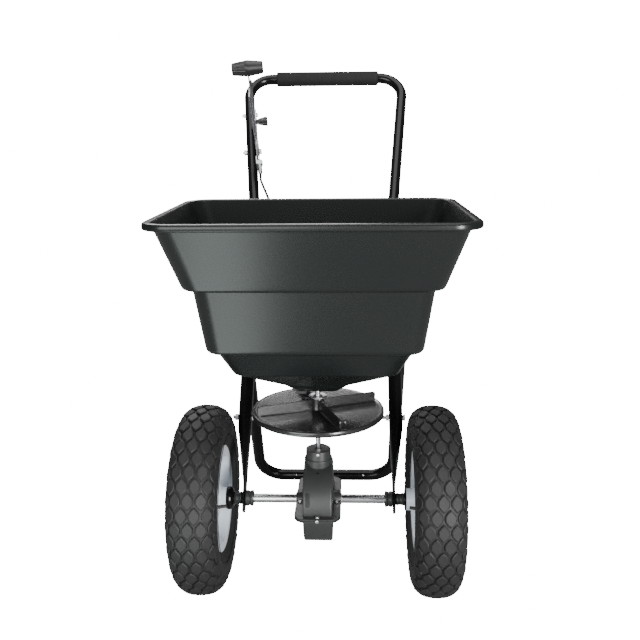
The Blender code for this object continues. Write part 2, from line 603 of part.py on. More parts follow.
def gate():
    """A sliding shutter under the floor, its guide with the outlet chute, and its pull wire."""
    top = HOPPER_FLOOR - GAP
    low = top - GATE_T
    half = WINDOW_X + 0.0030
    shutter = place("gate_plate", block((GATE_X - half, -WINDOW_Y - 0.003, low),
                                        (GATE_X + half, WINDOW_Y + 0.004, top)), ZINC)
    tail = [helper(block((GATE_X - 0.0040, WINDOW_Y, low), (GATE_X + 0.0040, 0.0560, top))),
            helper(block((GATE_X - 0.0040, 0.0530, low - 0.0030), (GATE_X + 0.0040, 0.0560, top)))]
    join(shutter, tail)
    wire_z = low - 0.0022
    wire_back = GUIDE_BACK - CABLE_TRAVEL - 0.0006
    place("gate_wire", rod((GATE_X, 0.0563, wire_z), (GATE_X, wire_back, wire_z), WIRE_R, 8), STEEL)
    base_top = low - GAP
    base_low = base_top - 0.0045
    wide = half + GAP + 0.0030
    guide = place("gate_guide", block((GATE_X - wide, -WINDOW_Y - 0.007, base_low),
                                      (GATE_X + wide, 0.0500, base_top)), CASE_PLASTIC)
    shapes = []
    for side in (-1, 1):
        x = sorted((GATE_X + side * (half + GAP), GATE_X + side * wide))
        shapes.append(helper(block((x[0], -WINDOW_Y - 0.007, base_low + 0.001), (x[1], 0.0500, top))))
    shapes.append(helper(block((GATE_X - 0.0090, -WINDOW_Y - 0.002, base_low - 0.0060),
                               (GATE_X + 0.0090, WINDOW_Y + 0.002, base_low + 0.001))))
    shapes.append(helper(block((GATE_X - 0.0060, 0.0450, base_low - 0.0030),
                               (GATE_X + 0.0060, GUIDE_BACK, base_low + 0.0012))))
    shapes.append(helper(block((GATE_X - 0.0060, wire_back - 0.0035, base_low - 0.0030),
                               (GATE_X + 0.0060, GUIDE_BACK, wire_z + 0.0060))))
    holes = [helper(block((GATE_X - WINDOW_X + 0.001, -WINDOW_Y + 0.001, base_low - 0.02),
                          (GATE_X + WINDOW_X - 0.001, WINDOW_Y - 0.001, base_top + 0.02))),
             helper(rod((GATE_X, wire_back - 0.01, wire_z), (GATE_X, GUIDE_BACK + 0.01, wire_z),
                        0.0018, 12)),
             helper(block((GATE_X - 0.0043, 0.0400, base_low - 0.001), (GATE_X + 0.0043, 0.0560 + CABLE_TRAVEL
                                                                      + 0.0005, base_top + 0.01)))]
    cut(join(guide, shapes), holes)
    return Vector((GATE_X, GUIDE_BACK + GAP, wire_z))


# ---------------------------------------------------------------- frame
def side_tubes():
    """A tube each side, flattened on the axle and bored at the top for the handle."""
    flat = (PLATE_T / 2, PLATE_W / 2)
    crimp = (TUBE_R, TUBE_R)
    for side, word in ((-1, "left"), (1, "right")):
        stations = ((-0.0240, flat, 0.78), (-0.0205, flat, 0.95), (CRIMP_FROM, flat, 1.0),
                    ((CRIMP_FROM + CRIMP_TO) / 2, None, 0.5), (CRIMP_TO, crimp, 1.0), (SIDE_LENGTH, crimp, 1.0))
        route, sizes = [], []
        for along, size, share in stations:
            straight = on_side(along, side)
            if size is None:
                size = ((flat[0] + crimp[0]) / 2, (flat[1] + crimp[1]) / 2)
            elif size is flat:
                size = (flat[0], flat[1] * share)
            route.append(straight)
            sizes.append(size)
        made = place(f"side_tube_{word}", tube(route, sizes, 16), BLACK_PAINT)
        tie = on_side(TIE_AT, side)
        join_one, join_two = (on_side(STAND_JOIN + reach, side) for reach in STAND_BOLTS)
        grip = on_side(SIDE_LENGTH - SOCKET * 0.5, side)
        arm = on_side(BRACKET_AT, side)
        bore_end = on_side(SIDE_LENGTH + 0.01, side)
        bore_start = on_side(SIDE_LENGTH - SOCKET - 0.004, side)
        holes = [helper(rod((side * 0.05, 0, WHEEL_R), (side * 0.2, 0, WHEEL_R), BUSH_R + GAP, 24)),
                 helper(rod(bore_start, bore_end, HANDLE_R + GAP * 2, 16))]
        for point, r in ((tie, TIE_R), (join_one, BOLT_R), (join_two, BOLT_R), (grip, 0.003),
                         (arm, BOLT_R)):
            far = Vector((side * 0.05, 0, 0))
            holes.append(helper(rod(point - far, point + far, r + GAP, 10)))
        cut(made, holes)


def stand():
    """One bent tube: the foot bar, two legs, and flattened laps that lie along the side tubes."""
    foot_z = TUBE_R
    knee = on_side(STAND_JOIN, 1)
    tops = {}
    for side in (-1, 1):
        lap_x = SIDE_X + TUBE_R + GAP + STAND_FLAT / 2 + 0.0012
        low = Vector((side * lap_x, knee.y, knee.z))
        high = low + LEAN * STAND_LAP
        foot = Vector((side * STAND_X, STAND_FOOT_Y, foot_z))
        tops[side] = (high, low, foot)
    left, right = tops[-1], tops[1]
    upper_left = filleted([left[0], left[1], left[2]], 0.030, 4)
    upper_right = filleted([right[2], right[1], right[0]], 0.030, 4)
    bend = filleted([left[1], left[2], right[2], right[1]], STAND_BEND, 7)
    route = upper_left[:-1] + bend[1:-1] + upper_right[1:]
    sizes = []
    full = TUBE_R
    for point in route:
        gone = min((point - left[0]).length, (point - right[0]).length)
        share = min(1.0, max(0.0, (gone - STAND_LAP - 0.004) / 0.045))
        share = share * share * (3 - 2 * share)
        sizes.append((STAND_FLAT / 2 + (full - STAND_FLAT / 2) * share,
                      0.0160 + (full - 0.0160) * share))
    more, more_sizes = [], []
    for i, point in enumerate(route):
        more.append(point)
        more_sizes.append(sizes[i])
        if i in (len(upper_left) - 2, len(route) - len(upper_right)):
            nearer = point if i < len(route) / 2 else route[i + 1]
            further = route[i + 1] if i < len(route) / 2 else point
            steps = (0.030, 0.060) if i < len(route) / 2 else (0.060, 0.030)
            for reach in steps:
                step = nearer + (further - nearer).normalized() * reach
                gone = min((step - left[0]).length, (step - right[0]).length)
                share = min(1.0, max(0.0, (gone - STAND_LAP - 0.004) / 0.045))
                share = share * share * (3 - 2 * share)
                more.append(step)
                more_sizes.append((STAND_FLAT / 2 + (full - STAND_FLAT / 2) * share,
                                   0.0160 + (full - 0.0160) * share))
    made = place("stand", tube(more, more_sizes, 16), BLACK_PAINT)
    holes = []
    for side, word in ((-1, "left"), (1, "right")):
        for number, reach in enumerate(STAND_BOLTS, 1):
            point = on_side(STAND_JOIN + reach, side)
            far = Vector((side * 0.05, 0, 0))
            holes.append(helper(rod(point, point + far, BOLT_R + GAP, 14)))
            outside = tops[side][1].x + side * (STAND_FLAT / 2 + GAP * 2)
            head = Vector((outside, point.y, point.z))
            inner = Vector((side * (abs(point.x) - TUBE_R - 0.0115), point.y, point.z))
            nut = (head - inner).length - 0.0105
            bolt(f"stand_bolt_{word}_{number}", head, inner, BOLT_R, ZINC, nut)
    cut(made, holes)


def tie_rod():
    """A long bolt between the side tubes, with its nuts."""
    left, right = on_side(TIE_AT, -1), on_side(TIE_AT, 1)
    head = right + Vector((TUBE_R + GAP, 0, 0))
    tip = left - Vector((TUBE_R + 0.0095, 0, 0))
    made = bolt("tie_rod", head, tip, TIE_R, ZINC)
    shapes = []
    for end in (left + Vector((TUBE_R + GAP, 0, 0)), right - Vector((TUBE_R + GAP + 0.0050, 0, 0))):
        shapes.append(helper(rod(end, end + Vector((0.0050, 0, 0)), TIE_R * 1.85, 6)))
    join(made, shapes)
    start = left - Vector((TUBE_R + GAP, 0, 0))
    nut = place("tie_nut", rod(start, start - Vector((0.0055, 0, 0)), TIE_R * 1.85, 6), ZINC)
    cut(nut, [helper(rod(start + Vector((0.01, 0, 0)), start - Vector((0.02, 0, 0)), TIE_R + GAP, 14))])


def handle():
    """The bent upper handle tube, its foam grip and the bolts in its sockets."""
    corners = []
    for side in (-1, 1):
        foot = on_side(SIDE_LENGTH - SOCKET, side)
        bend = on_side(HANDLE_FROM, side)
        top = on_handle(HANDLE_LENGTH, side)
        corners.append((foot, bend, top))
    left, right = corners
    route = [left[0], left[1]] + filleted([left[1], left[2], right[2], right[1]], HANDLE_BEND, 6)[1:-1]
    route += [right[1], right[0]]
    made = place("handle", tube(route, HANDLE_R, 16), BLACK_PAINT)
    holes = []
    for side, word in ((-1, "left"), (1, "right")):
        point = on_side(SIDE_LENGTH - SOCKET * 0.5, side)
        out = Vector((side, 0, 0))
        holes.append(helper(rod(point - out * 0.04, point + out * 0.04, 0.0033, 14)))
        head = point + out * (TUBE_R + 0.0004)
        tip = point - out * (TUBE_R + 0.0075)
        bolt(f"handle_bolt_{word}", head, tip, 0.0030, ZINC, 2 * TUBE_R + 0.0010)
    for name, radius, along in control_holes():
        point = CONTROL @ Vector((along - PIVOT_AT, 0, 0))
        holes.append(helper(rod(point - CONTROL_N * 0.03, point + CONTROL_N * 0.03, radius + GAP, 12)))
    cut(made, holes)
    bar = on_handle(HANDLE_LENGTH, -1)
    low = HANDLE_R + GAP
    ring = [(GRIP_FROM, low), (GRIP_FROM, GRIP_R - 0.0015), (GRIP_FROM + 0.0015, GRIP_R),
            (GRIP_TO - 0.0015, GRIP_R), (GRIP_TO, GRIP_R - 0.0015), (GRIP_TO, low)]
    place("handle_grip", turned(ring, 24), FOAM, Matrix.Translation((0, bar.y, bar.z)))


BRACKET_AT = 0.300        # hopper bracket's bolt, from the axle along the side tube


def hopper_brackets():
    """A plate beside each side tube that carries the hopper's lower ledge on a turned-out flange."""
    for side, word in ((-1, "left"), (1, "right")):
        centre = on_side(BRACKET_AT, side)
        beside = abs(centre.x) + TUBE_R + GAP + 0.0006
        inner = 0.1570 + GAP + 0.0012
        thick = 0.0025
        top = STEP_LOW - GAP
        outline = [(centre.y + 0.022, centre.z - 0.006), (centre.y + 0.016, centre.z + 0.022),
                   (0.105, top), (-0.055, top), (-0.055, top - 0.012), (0.020, top - 0.024),
                   (centre.y - 0.014, centre.z - 0.020), (centre.y + 0.010, centre.z - 0.022)]
        rings = [[(side * x, y, z) for y, z in outline] for x in (inner, inner + thick)]
        made = place(f"hopper_bracket_{word}", loft(rings), BLACK_PAINT)
        x = sorted((side * (inner + 0.0005), side * (inner + 0.0080)))
        flange = helper(block((x[0], -0.055, top - thick), (x[1], 0.090, top)))
        x = sorted((side * beside, side * (inner + 0.0010)))
        pad = helper(block((x[0], centre.y - 0.0090, centre.z - 0.0120), (x[1], centre.y + 0.0110, centre.z + 0.0100)))
        join(made, [flange, pad])
        far = Vector((side * 0.03, 0, 0))
        cut(made, [helper(rod(centre, centre + far, BOLT_R + GAP, 14))])
        head = Vector((side * (inner + thick + GAP), centre.y, centre.z))
        tip = Vector((side * (abs(centre.x) - TUBE_R - 0.0110), centre.y, centre.z))
        nut = abs(head.x - tip.x) - 0.0100
        bolt(f"bracket_bolt_{word}", head, tip, BOLT_R, ZINC, nut)


# ---------------------------------------------------------------- control
CONTROL_T = (on_handle(1, -1) - on_handle(0, -1)).normalized()
CONTROL_P = Vector((0, -cos(SIDE_LEAN), sin(SIDE_LEAN)))
CONTROL_N = CONTROL_T.cross(CONTROL_P).normalized()
CONTROL_O = on_handle(PIVOT_AT, -1)
CONTROL = Matrix((CONTROL_T, CONTROL_P, CONTROL_N)).transposed().to_4x4()
CONTROL.translation = CONTROL_O
PLATE_N = HANDLE_R + GAP
LEVER_N = PLATE_N + PLATE_THICK + 0.0005
WIRE_N = LEVER_N + LEVER_THICK + 0.0016
PULL = EAR_REST - LEVER_OPENS / 2 - pi / 2        # the wire runs along the chord of its ear's swing
CABLE_TRAVEL = 2 * EAR_R * sin(LEVER_OPENS / 2)
HOOK = Vector((EAR_R * cos(EAR_REST), EAR_R * sin(EAR_REST), 0))
CABLE_MOUTH = HOOK - Vector((cos(PULL), sin(PULL), 0)) * 0.0320


def control_holes():
    """(name, radius, distance from the axle) of the bolts through the handle."""
    return [("lever_pivot", 0.0032, PIVOT_AT), ("plate_bolt", 0.0026, PIVOT_AT + 0.099)]


def arc(radius, start, end, steps):
    return [(radius * cos(start + (end - start) * k / steps), radius * sin(start + (end - start) * k / steps))
            for k in range(steps + 1)]


def control_plate():
    """The scale plate: a fan about the lever's pivot, with a slot for the stop and a cable clamp."""
    fan = arc(0.150, radians(80), radians(30), 10)
    outline = [(0.030, 0.0095)] + [(0.108, 0.0095), (0.113, 0.004), (0.113, -0.004), (0.108, -0.0095),
                                   (-0.030, -0.0095), (-0.060, 0.0200), (-0.060, 0.0420),
                                   (-0.042, 0.0420), (-0.022, 0.0180)] + fan
    bm = slab(outline[::-1], PLATE_N, PLATE_N + PLATE_THICK)
    made = place("control_plate", bm, ZINC, CONTROL)
    spot = CONTROL @ Matrix.Translation(CABLE_MOUTH) @ Matrix.Rotation(PULL, 4, "Z")
    clamp = helper(block((-0.0090, -0.0065, PLATE_N + 0.0010), (-0.0010, 0.0065, WIRE_N + 0.0062)), spot)
    hole = helper(rod((-0.03, 0, WIRE_N), (0.02, 0, WIRE_N), BARREL_R + GAP, 16), spot)
    half = 0.0036
    first, last = STOP_REST - radians(3), STOP_REST + STOP_TRAVEL + radians(3)
    ring = arc(STOP_R + half, first, last, 10) + arc(STOP_R - half, last, first, 10)
    slot = helper(slab(ring, 0, 0.03), CONTROL)
    holes = [hole, slot]
    for name, radius, at in control_holes():
        x = at - PIVOT_AT
        holes.append(helper(rod((x, 0, -0.02), (x, 0, 0.04), radius + GAP, 14), CONTROL))
    cut(join(made, [clamp]), holes)
    barrel = [(-BARREL_LENGTH, BARREL_BORE), (-BARREL_LENGTH, BARREL_R - 0.0008), (-0.0260, BARREL_R - 0.0008),
              (-0.0260, BARREL_R), (0.0020, BARREL_R), (0.0020, BARREL_BORE)]
    at = spot @ Matrix.Translation((0, 0, WIRE_N))
    place("cable_adjuster", turned(barrel, 16), STEEL, at)
    return at @ Vector((-BARREL_LENGTH - GAP, 0, 0)), (at.to_3x3() @ Vector((-1, 0, 0))).normalized()


def lever():
    """The flat lever with its cable ear, its T knob, pivot bolt and hooked wire."""
    turn = Matrix.Rotation(LEVER_REST, 4, "Z")
    at = CONTROL @ turn
    high = LEVER_N + LEVER_THICK
    ear = EAR_REST - LEVER_REST
    tip = Vector((cos(ear), sin(ear))) * EAR_R
    lean = Vector((-sin(ear), cos(ear)))
    outline = [(0.0090 * cos(radians(a)), 0.0090 * sin(radians(a))) for a in (150, 195, 240, 285)]
    outline += [(0.030, -0.0075), (LEVER_LENGTH - 0.012, -0.0060), (LEVER_LENGTH - 0.012, 0.0060),
                (0.0420, 0.0080)]
    outline += [tuple(tip + Vector((cos(ear), sin(ear))) * 0.0052 - lean * 0.0050),
                tuple(tip + Vector((cos(ear), sin(ear))) * 0.0052 + lean * 0.0050)]
    made = place("lever", slab(outline, LEVER_N, high), ZINC, at)
    cut(made, [helper(rod((0, 0, 0), (0, 0, 0.05), 0.0035, 16), at),
               helper(block((EAR_R * cos(LEVER_OPENS / 2) - 0.0013, -0.0013, 0), (EAR_R + 0.0013, 0.0013, 0.05)),
                      at @ Matrix.Rotation(ear, 4, "Z"))])
    knob_n = LEVER_N + LEVER_THICK / 2
    half = 0.0310
    profile = [(-half, 0.0001), (-half, 0.0112), (-half + 0.0015, 0.0122), (-0.0020, 0.0162), (0.0020, 0.0162),
               (half - 0.0015, 0.0122), (half, 0.0112), (half, 0.0001)]
    knob_at = at @ Matrix.Translation((LEVER_LENGTH, 0, knob_n))
    bm = loft([[(r * cos(2 * pi * k / 20), r * sin(2 * pi * k / 20), h) for k in range(20)]
               for h, r in profile[1:-1]])
    knob = place("lever_knob", bm, KNOB_PLASTIC, knob_at)
    slot = helper(block((LEVER_LENGTH - 0.040, -0.0063, LEVER_N - GAP), (LEVER_LENGTH - 0.0117, 0.0063,
                                                                       high + GAP)), at)
    cut(knob, [slot])
    bolt_from = CONTROL @ Vector((0, 0, high + 0.0006))
    bolt_to = CONTROL @ Vector((0, 0, -HANDLE_R - 0.0085))
    bolt("lever_pivot", bolt_from, bolt_to, 0.0032, ZINC, high + 0.0006 + HANDLE_R + GAP)
    head_from = CONTROL @ Vector((0.099, 0, PLATE_N + PLATE_THICK + GAP))
    head_to = CONTROL @ Vector((0.099, 0, -HANDLE_R - 0.0075))
    bolt("plate_bolt", head_from, head_to, 0.0026, ZINC, PLATE_N + PLATE_THICK + GAP * 2 + HANDLE_R)
    along = (CABLE_MOUTH - HOOK).normalized()
    points = [HOOK + Vector((0, 0, LEVER_N - 0.0004)), HOOK + Vector((0, 0, WIRE_N)),
              CABLE_MOUTH + Vector((0, 0, WIRE_N)) + along * (CABLE_TRAVEL + 0.0036)]
    route = filleted(points, 0.0013, 3)
    place("lever_wire", tube(route, WIRE_R, 8, Vector((0, 0, 1)).cross(along)), STEEL, CONTROL)


def stop():
    """The lever stop: a fluted knob on a stud through the plate's slot, with its nut behind."""
    at = CONTROL @ Matrix.Rotation(STOP_REST, 4, "Z") @ Matrix.Translation((STOP_R, 0, 0))
    front = PLATE_N + PLATE_THICK + GAP
    low = [(front, 0.0045), (front + 0.0080, 0.0075), (front + 0.0210, 0.0105), (front + 0.0250, 0.0105)]
    rings = []
    for h, r in low:
        wave = [r * (1 if k % 2 == 0 or h < front + 0.007 else 0.88) for k in range(20)]
        rings.append([(w * cos(2 * pi * k / 20), w * sin(2 * pi * k / 20), h) for k, w in enumerate(wave)])
    made = place("stop_knob", loft(rings), KNOB_PLASTIC, at)
    stud = helper(rod((0, 0, PLATE_N - 0.0055), (0, 0, front + 0.002), 0.0028, 14), at)
    nut = helper(rod((0, 0, PLATE_N - 0.0050), (0, 0, PLATE_N - GAP), 0.0062, 6), at)
    join(made, [stud, nut])


def smooth_route(points, spacing):
    """Points a fixed distance apart along a smooth curve through hand-chosen points."""
    fine = []
    padded = [points[0] * 2 - points[1]] + points + [points[-1] * 2 - points[-2]]
    for a, b, c, d in zip(padded, padded[1:], padded[2:], padded[3:]):
        for k in range(24):
            t = k / 24
            fine.append(0.5 * (b * 2 + (c - a) * t + (a * 2 - b * 5 + c * 4 - d) * t * t
                               + (b * 3 - a - c * 3 + d) * t ** 3))
    fine.append(points[-1])
    total = sum((q - p).length for p, q in zip(fine, fine[1:]))
    count = max(2, round(total / spacing))
    found, gone, want = [fine[0]], 0.0, total / count
    for p, q in zip(fine, fine[1:]):
        step = (q - p).length
        while step > 0 and gone + step >= want * len(found) and len(found) < count:
            found.append(p.lerp(q, (want * len(found) - gone) / step))
        gone += step
    return found + [fine[-1]]


def cable(start, heading, end):
    """The cable's sheath, held from the lever's adjuster to the gate guide."""
    points = [start, start + heading * 0.014, Vector((-0.1020, 0.3650, 0.6250)),
              Vector((-0.0860, 0.3330, 0.5600)), Vector((-0.0740, 0.2860, 0.4950)),
              Vector((-0.0600, 0.2350, 0.4350)), Vector((-0.0440, 0.1880, 0.3980)),
              Vector((-0.0320, 0.1500, 0.3795)), Vector((end.x, end.y + 0.018, end.z)), end]
    route = smooth_route(points, SHEATH_R * 5)
    curve = bpy.data.curves.new("control_cable", "CURVE")
    curve.dimensions = "3D"
    curve.bevel_depth = SHEATH_R
    curve.bevel_resolution = 2
    curve.use_fill_caps = True
    spline = curve.splines.new("POLY")
    spline.points.add(len(route) - 1)
    for target, point in zip(spline.points, route):
        target.co = (*point, 1)
    curve.materials.append(BLACK_PAINT)
    made = bpy.data.objects.new("control_cable", curve)
    bpy.context.scene.collection.objects.link(made)
    made.parent = machine


wheels()
crown_gear()
pinion()
axle()
axle_bearings()
gear_case()
spinner()
hopper()
wire_end = gate()
side_tubes()
stand()
tie_rod()
handle()
hopper_brackets()
sheath_start, sheath_heading = control_plate()
lever()
stop()
cable(sheath_start, sheath_heading, wire_end)
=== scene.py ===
"""A walk-behind broadcast spreader: the visible pieces, their finishes and a plain studio."""

import json
from math import cos, pi, radians, sin, tan

import bmesh
import bpy
from bpy.props import FloatProperty, FloatVectorProperty, IntProperty, PointerProperty
from mathutils import Matrix, Vector


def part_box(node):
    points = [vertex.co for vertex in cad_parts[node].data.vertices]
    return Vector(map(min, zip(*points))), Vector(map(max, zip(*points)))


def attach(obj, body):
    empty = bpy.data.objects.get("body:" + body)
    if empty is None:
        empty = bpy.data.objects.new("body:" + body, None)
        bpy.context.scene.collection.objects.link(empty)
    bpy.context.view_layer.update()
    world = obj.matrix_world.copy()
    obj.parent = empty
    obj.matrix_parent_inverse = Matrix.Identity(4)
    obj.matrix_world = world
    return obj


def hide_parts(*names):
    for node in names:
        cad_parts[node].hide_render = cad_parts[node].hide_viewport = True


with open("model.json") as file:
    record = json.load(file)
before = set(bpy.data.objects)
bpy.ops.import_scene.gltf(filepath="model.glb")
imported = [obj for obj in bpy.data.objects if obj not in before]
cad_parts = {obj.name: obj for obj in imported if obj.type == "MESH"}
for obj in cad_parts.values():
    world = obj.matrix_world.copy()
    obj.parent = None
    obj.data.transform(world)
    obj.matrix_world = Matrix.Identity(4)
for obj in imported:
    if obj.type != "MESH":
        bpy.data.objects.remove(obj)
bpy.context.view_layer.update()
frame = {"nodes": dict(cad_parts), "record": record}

bl_info = {
    "name": "Broadcast spreader",
    "version": (1, 0, 0),
    "blender": (4, 5, 0),
    "location": "3D View > Sidebar > Spreader",
    "description": "Builds the pieces, finishes and studio of a walk-behind broadcast spreader",
    "category": "Object",
}


# ---------------------------------------------------------------- places in the frame
def middle(node):
    low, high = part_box(node)
    return (low + high) / 2


AXLE = middle("axle")
SHAFT = middle("impeller_shaft")


def here(x, y, z):
    """A point given from the ground under the middle of the axle."""
    return Vector((x, AXLE.y + y, z))


# ---------------------------------------------------------------- settings
def colour(text, default):
    return FloatVectorProperty(name=text, description=f"{text} as linear red, green and blue",
                               subtype="COLOR", size=3, min=0, max=1, default=default)


def length(text, default, what):
    return FloatProperty(name=text, description=what, default=default, min=0, unit="LENGTH", precision=4)


class WheelSettings(bpy.types.PropertyGroup):
    radius: length("Tyre radius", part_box("tyre_left")[1].z / 2, "From the axle to the top of the tread")
    half_width: length("Half width", 0.0415, "Half the width of the tyre's section")
    rim_radius: length("Rim radius", 0.0935, "Radius of the rim's flange")
    block_depth: length("Tread depth", 0.0042, "Height of the tread blocks")
    blocks: IntProperty(name="Blocks", description="Tread blocks round the tyre in each row", default=22,
                        min=12)
    rubber: colour("Rubber", (0.0110, 0.0110, 0.0113))
    rim: colour("Rim enamel", (0.74, 0.80, 0.86))


class HopperSettings(bpy.types.PropertyGroup):
    wall: length("Wall", 0.0030, "Thickness of the moulded wall")
    plastic: colour("Hopper plastic", (0.0085, 0.0104, 0.0100))


class FrameSettings(bpy.types.PropertyGroup):
    tube: length("Tube radius", 0.0127, "Radius of the side tubes and the stand")
    handle: length("Handle radius", 0.0111, "Radius of the handle tube")
    paint: colour("Frame enamel", (0.0045, 0.0045, 0.0048))
    foam: colour("Grip foam", (0.0120, 0.0120, 0.0125))


class DriveSettings(bpy.types.PropertyGroup):
    case: colour("Gear case", (0.0260, 0.0275, 0.0270))
    disc: colour("Spinning disc", (0.0150, 0.0155, 0.0160))
    zinc: colour("Zinc plate", (0.72, 0.73, 0.75))
    steel: colour("Bright steel", (0.60, 0.60, 0.61))


class ControlSettings(bpy.types.PropertyGroup):
    knob: colour("Knobs", (0.0150, 0.0150, 0.0160))
    sheath: colour("Cable sheath", (0.0100, 0.0100, 0.0110))


# ---------------------------------------------------------------- shader groups
def new_group(name, inputs, outputs):
    group = bpy.data.node_groups.new(name, "ShaderNodeTree")
    for label, kind, default in inputs:
        socket = group.interface.new_socket(label, in_out="INPUT", socket_type=kind)
        socket.default_value = default
    for label, kind in outputs:
        group.interface.new_socket(label, in_out="OUTPUT", socket_type=kind)
    made = group.nodes
    return group, made.new("NodeGroupInput"), made.new("NodeGroupOutput")


def wire(tree, pairs):
    for source, target in pairs:
        tree.links.new(source, target)


def ramp(tree, source, low, high):
    node = tree.nodes.new("ShaderNodeMapRange")
    for place, value in ((1, low[0]), (2, high[0]), (3, low[1]), (4, high[1])):
        if isinstance(value, (int, float)):
            node.inputs[place].default_value = value
        else:
            tree.links.new(value, node.inputs[place])
    tree.links.new(source, node.inputs[0])
    return node.outputs[0]


def noise(tree, vector, scale, detail=3.0, rough=0.55):
    node = tree.nodes.new("ShaderNodeTexNoise")
    node.inputs["Detail"].default_value = detail
    node.inputs["Roughness"].default_value = rough
    if isinstance(scale, (int, float)):
        node.inputs["Scale"].default_value = scale
    else:
        tree.links.new(scale, node.inputs["Scale"])
    tree.links.new(vector, node.inputs["Vector"])
    return node.outputs["Fac"]


def math_node(tree, kind, first, second):
    node = tree.nodes.new("ShaderNodeMath")
    node.operation = kind
    for place, value in ((0, first), (1, second)):
        if isinstance(value, (int, float)):
            node.inputs[place].default_value = value
        else:
            tree.links.new(value, node.inputs[place])
    return node.outputs[0]


def surface_group():
    """Moulding grain and slow unevenness: a colour that drifts, a roughness and a bump height."""
    group, given, out = new_group(
        "Surface", [("Colour", "NodeSocketColor", (0.5, 0.5, 0.5, 1)), ("Drift", "NodeSocketFloat", 0.15),
                    ("Grain", "NodeSocketFloat", 900.0), ("Patch", "NodeSocketFloat", 14.0),
                    ("Roughness", "NodeSocketFloat", 0.4), ("Spread", "NodeSocketFloat", 0.06)],
        [("Colour", "NodeSocketColor"), ("Roughness", "NodeSocketFloat"), ("Height", "NodeSocketFloat")])
    spot = group.nodes.new("ShaderNodeTexCoord").outputs["Object"]
    fine = noise(group, spot, given.outputs["Grain"], 2.0)
    slow = noise(group, spot, given.outputs["Patch"], 4.0)
    centred = math_node(group, "SUBTRACT", slow, 0.5)
    drift = math_node(group, "MULTIPLY", centred, given.outputs["Drift"])
    hsv = group.nodes.new("ShaderNodeHueSaturation")
    wire(group, [(math_node(group, "ADD", math_node(group, "MULTIPLY", drift, 2.0), 1.0),
                  hsv.inputs["Value"]),
                 (given.outputs["Colour"], hsv.inputs["Color"]), (hsv.outputs[0], out.inputs["Colour"]),
                 (fine, out.inputs["Height"])])
    uneven = math_node(group, "MULTIPLY",
                       math_node(group, "ADD", centred, math_node(group, "SUBTRACT", fine, 0.5)),
                       given.outputs["Spread"])
    wire(group, [(math_node(group, "ADD", uneven, given.outputs["Roughness"]), out.inputs["Roughness"])])
    return group


def wear_group():
    """A mask of rubbed edges: convex corners, broken up by noise."""
    group, given, out = new_group(
        "Edge wear", [("Amount", "NodeSocketFloat", 0.5), ("Scale", "NodeSocketFloat", 60.0)],
        [("Mask", "NodeSocketFloat")])
    edge = group.nodes.new("ShaderNodeNewGeometry").outputs["Pointiness"]
    spot = group.nodes.new("ShaderNodeTexCoord").outputs["Object"]
    sharp = ramp(group, edge, (0.53, 0.0), (0.60, 1.0))
    broken = ramp(group, noise(group, spot, given.outputs["Scale"], 5.0, 0.7), (0.45, 0.0), (0.62, 1.0))
    both = math_node(group, "MULTIPLY", sharp, broken)
    wire(group, [(math_node(group, "MULTIPLY", both, given.outputs["Amount"]), out.inputs["Mask"])])
    return group


def dust_group():
    """A mask of fine dust that settles on upward faces."""
    group, given, out = new_group(
        "Dust", [("Amount", "NodeSocketFloat", 0.2), ("Scale", "NodeSocketFloat", 25.0)],
        [("Mask", "NodeSocketFloat")])
    geometry = group.nodes.new("ShaderNodeNewGeometry")
    split = group.nodes.new("ShaderNodeSeparateXYZ")
    spot = group.nodes.new("ShaderNodeTexCoord").outputs["Object"]
    wire(group, [(geometry.outputs["Normal"], split.inputs[0])])
    up = ramp(group, split.outputs["Z"], (0.2, 0.0), (1.0, 1.0))
    speck = ramp(group, noise(group, spot, given.outputs["Scale"], 6.0, 0.7), (0.4, 0.2), (0.75, 1.0))
    wire(group, [(math_node(group, "MULTIPLY", math_node(group, "MULTIPLY", up, speck),
                            given.outputs["Amount"]),
                  out.inputs["Mask"])])
    return group


GROUPS, FINISHES = {}, {}


def grouped(tree, name, **values):
    if name not in GROUPS:
        GROUPS[name] = {"Surface": surface_group, "Edge wear": wear_group, "Dust": dust_group}[name]()
    node = tree.nodes.new("ShaderNodeGroup")
    node.node_tree = GROUPS[name]
    for key, value in values.items():
        node.inputs[key].default_value = value
    return node


def mixed(tree, mask, first, second):
    """Two colours blended by a mask; each may be a socket or a colour."""
    node = tree.nodes.new("ShaderNodeMix")
    node.data_type = "RGBA"
    tree.links.new(mask, node.inputs[0])
    for place, value in ((6, first), (7, second)):
        if isinstance(value, tuple):
            node.inputs[place].default_value = value
        else:
            tree.links.new(value, node.inputs[place])
    return node.outputs[2]


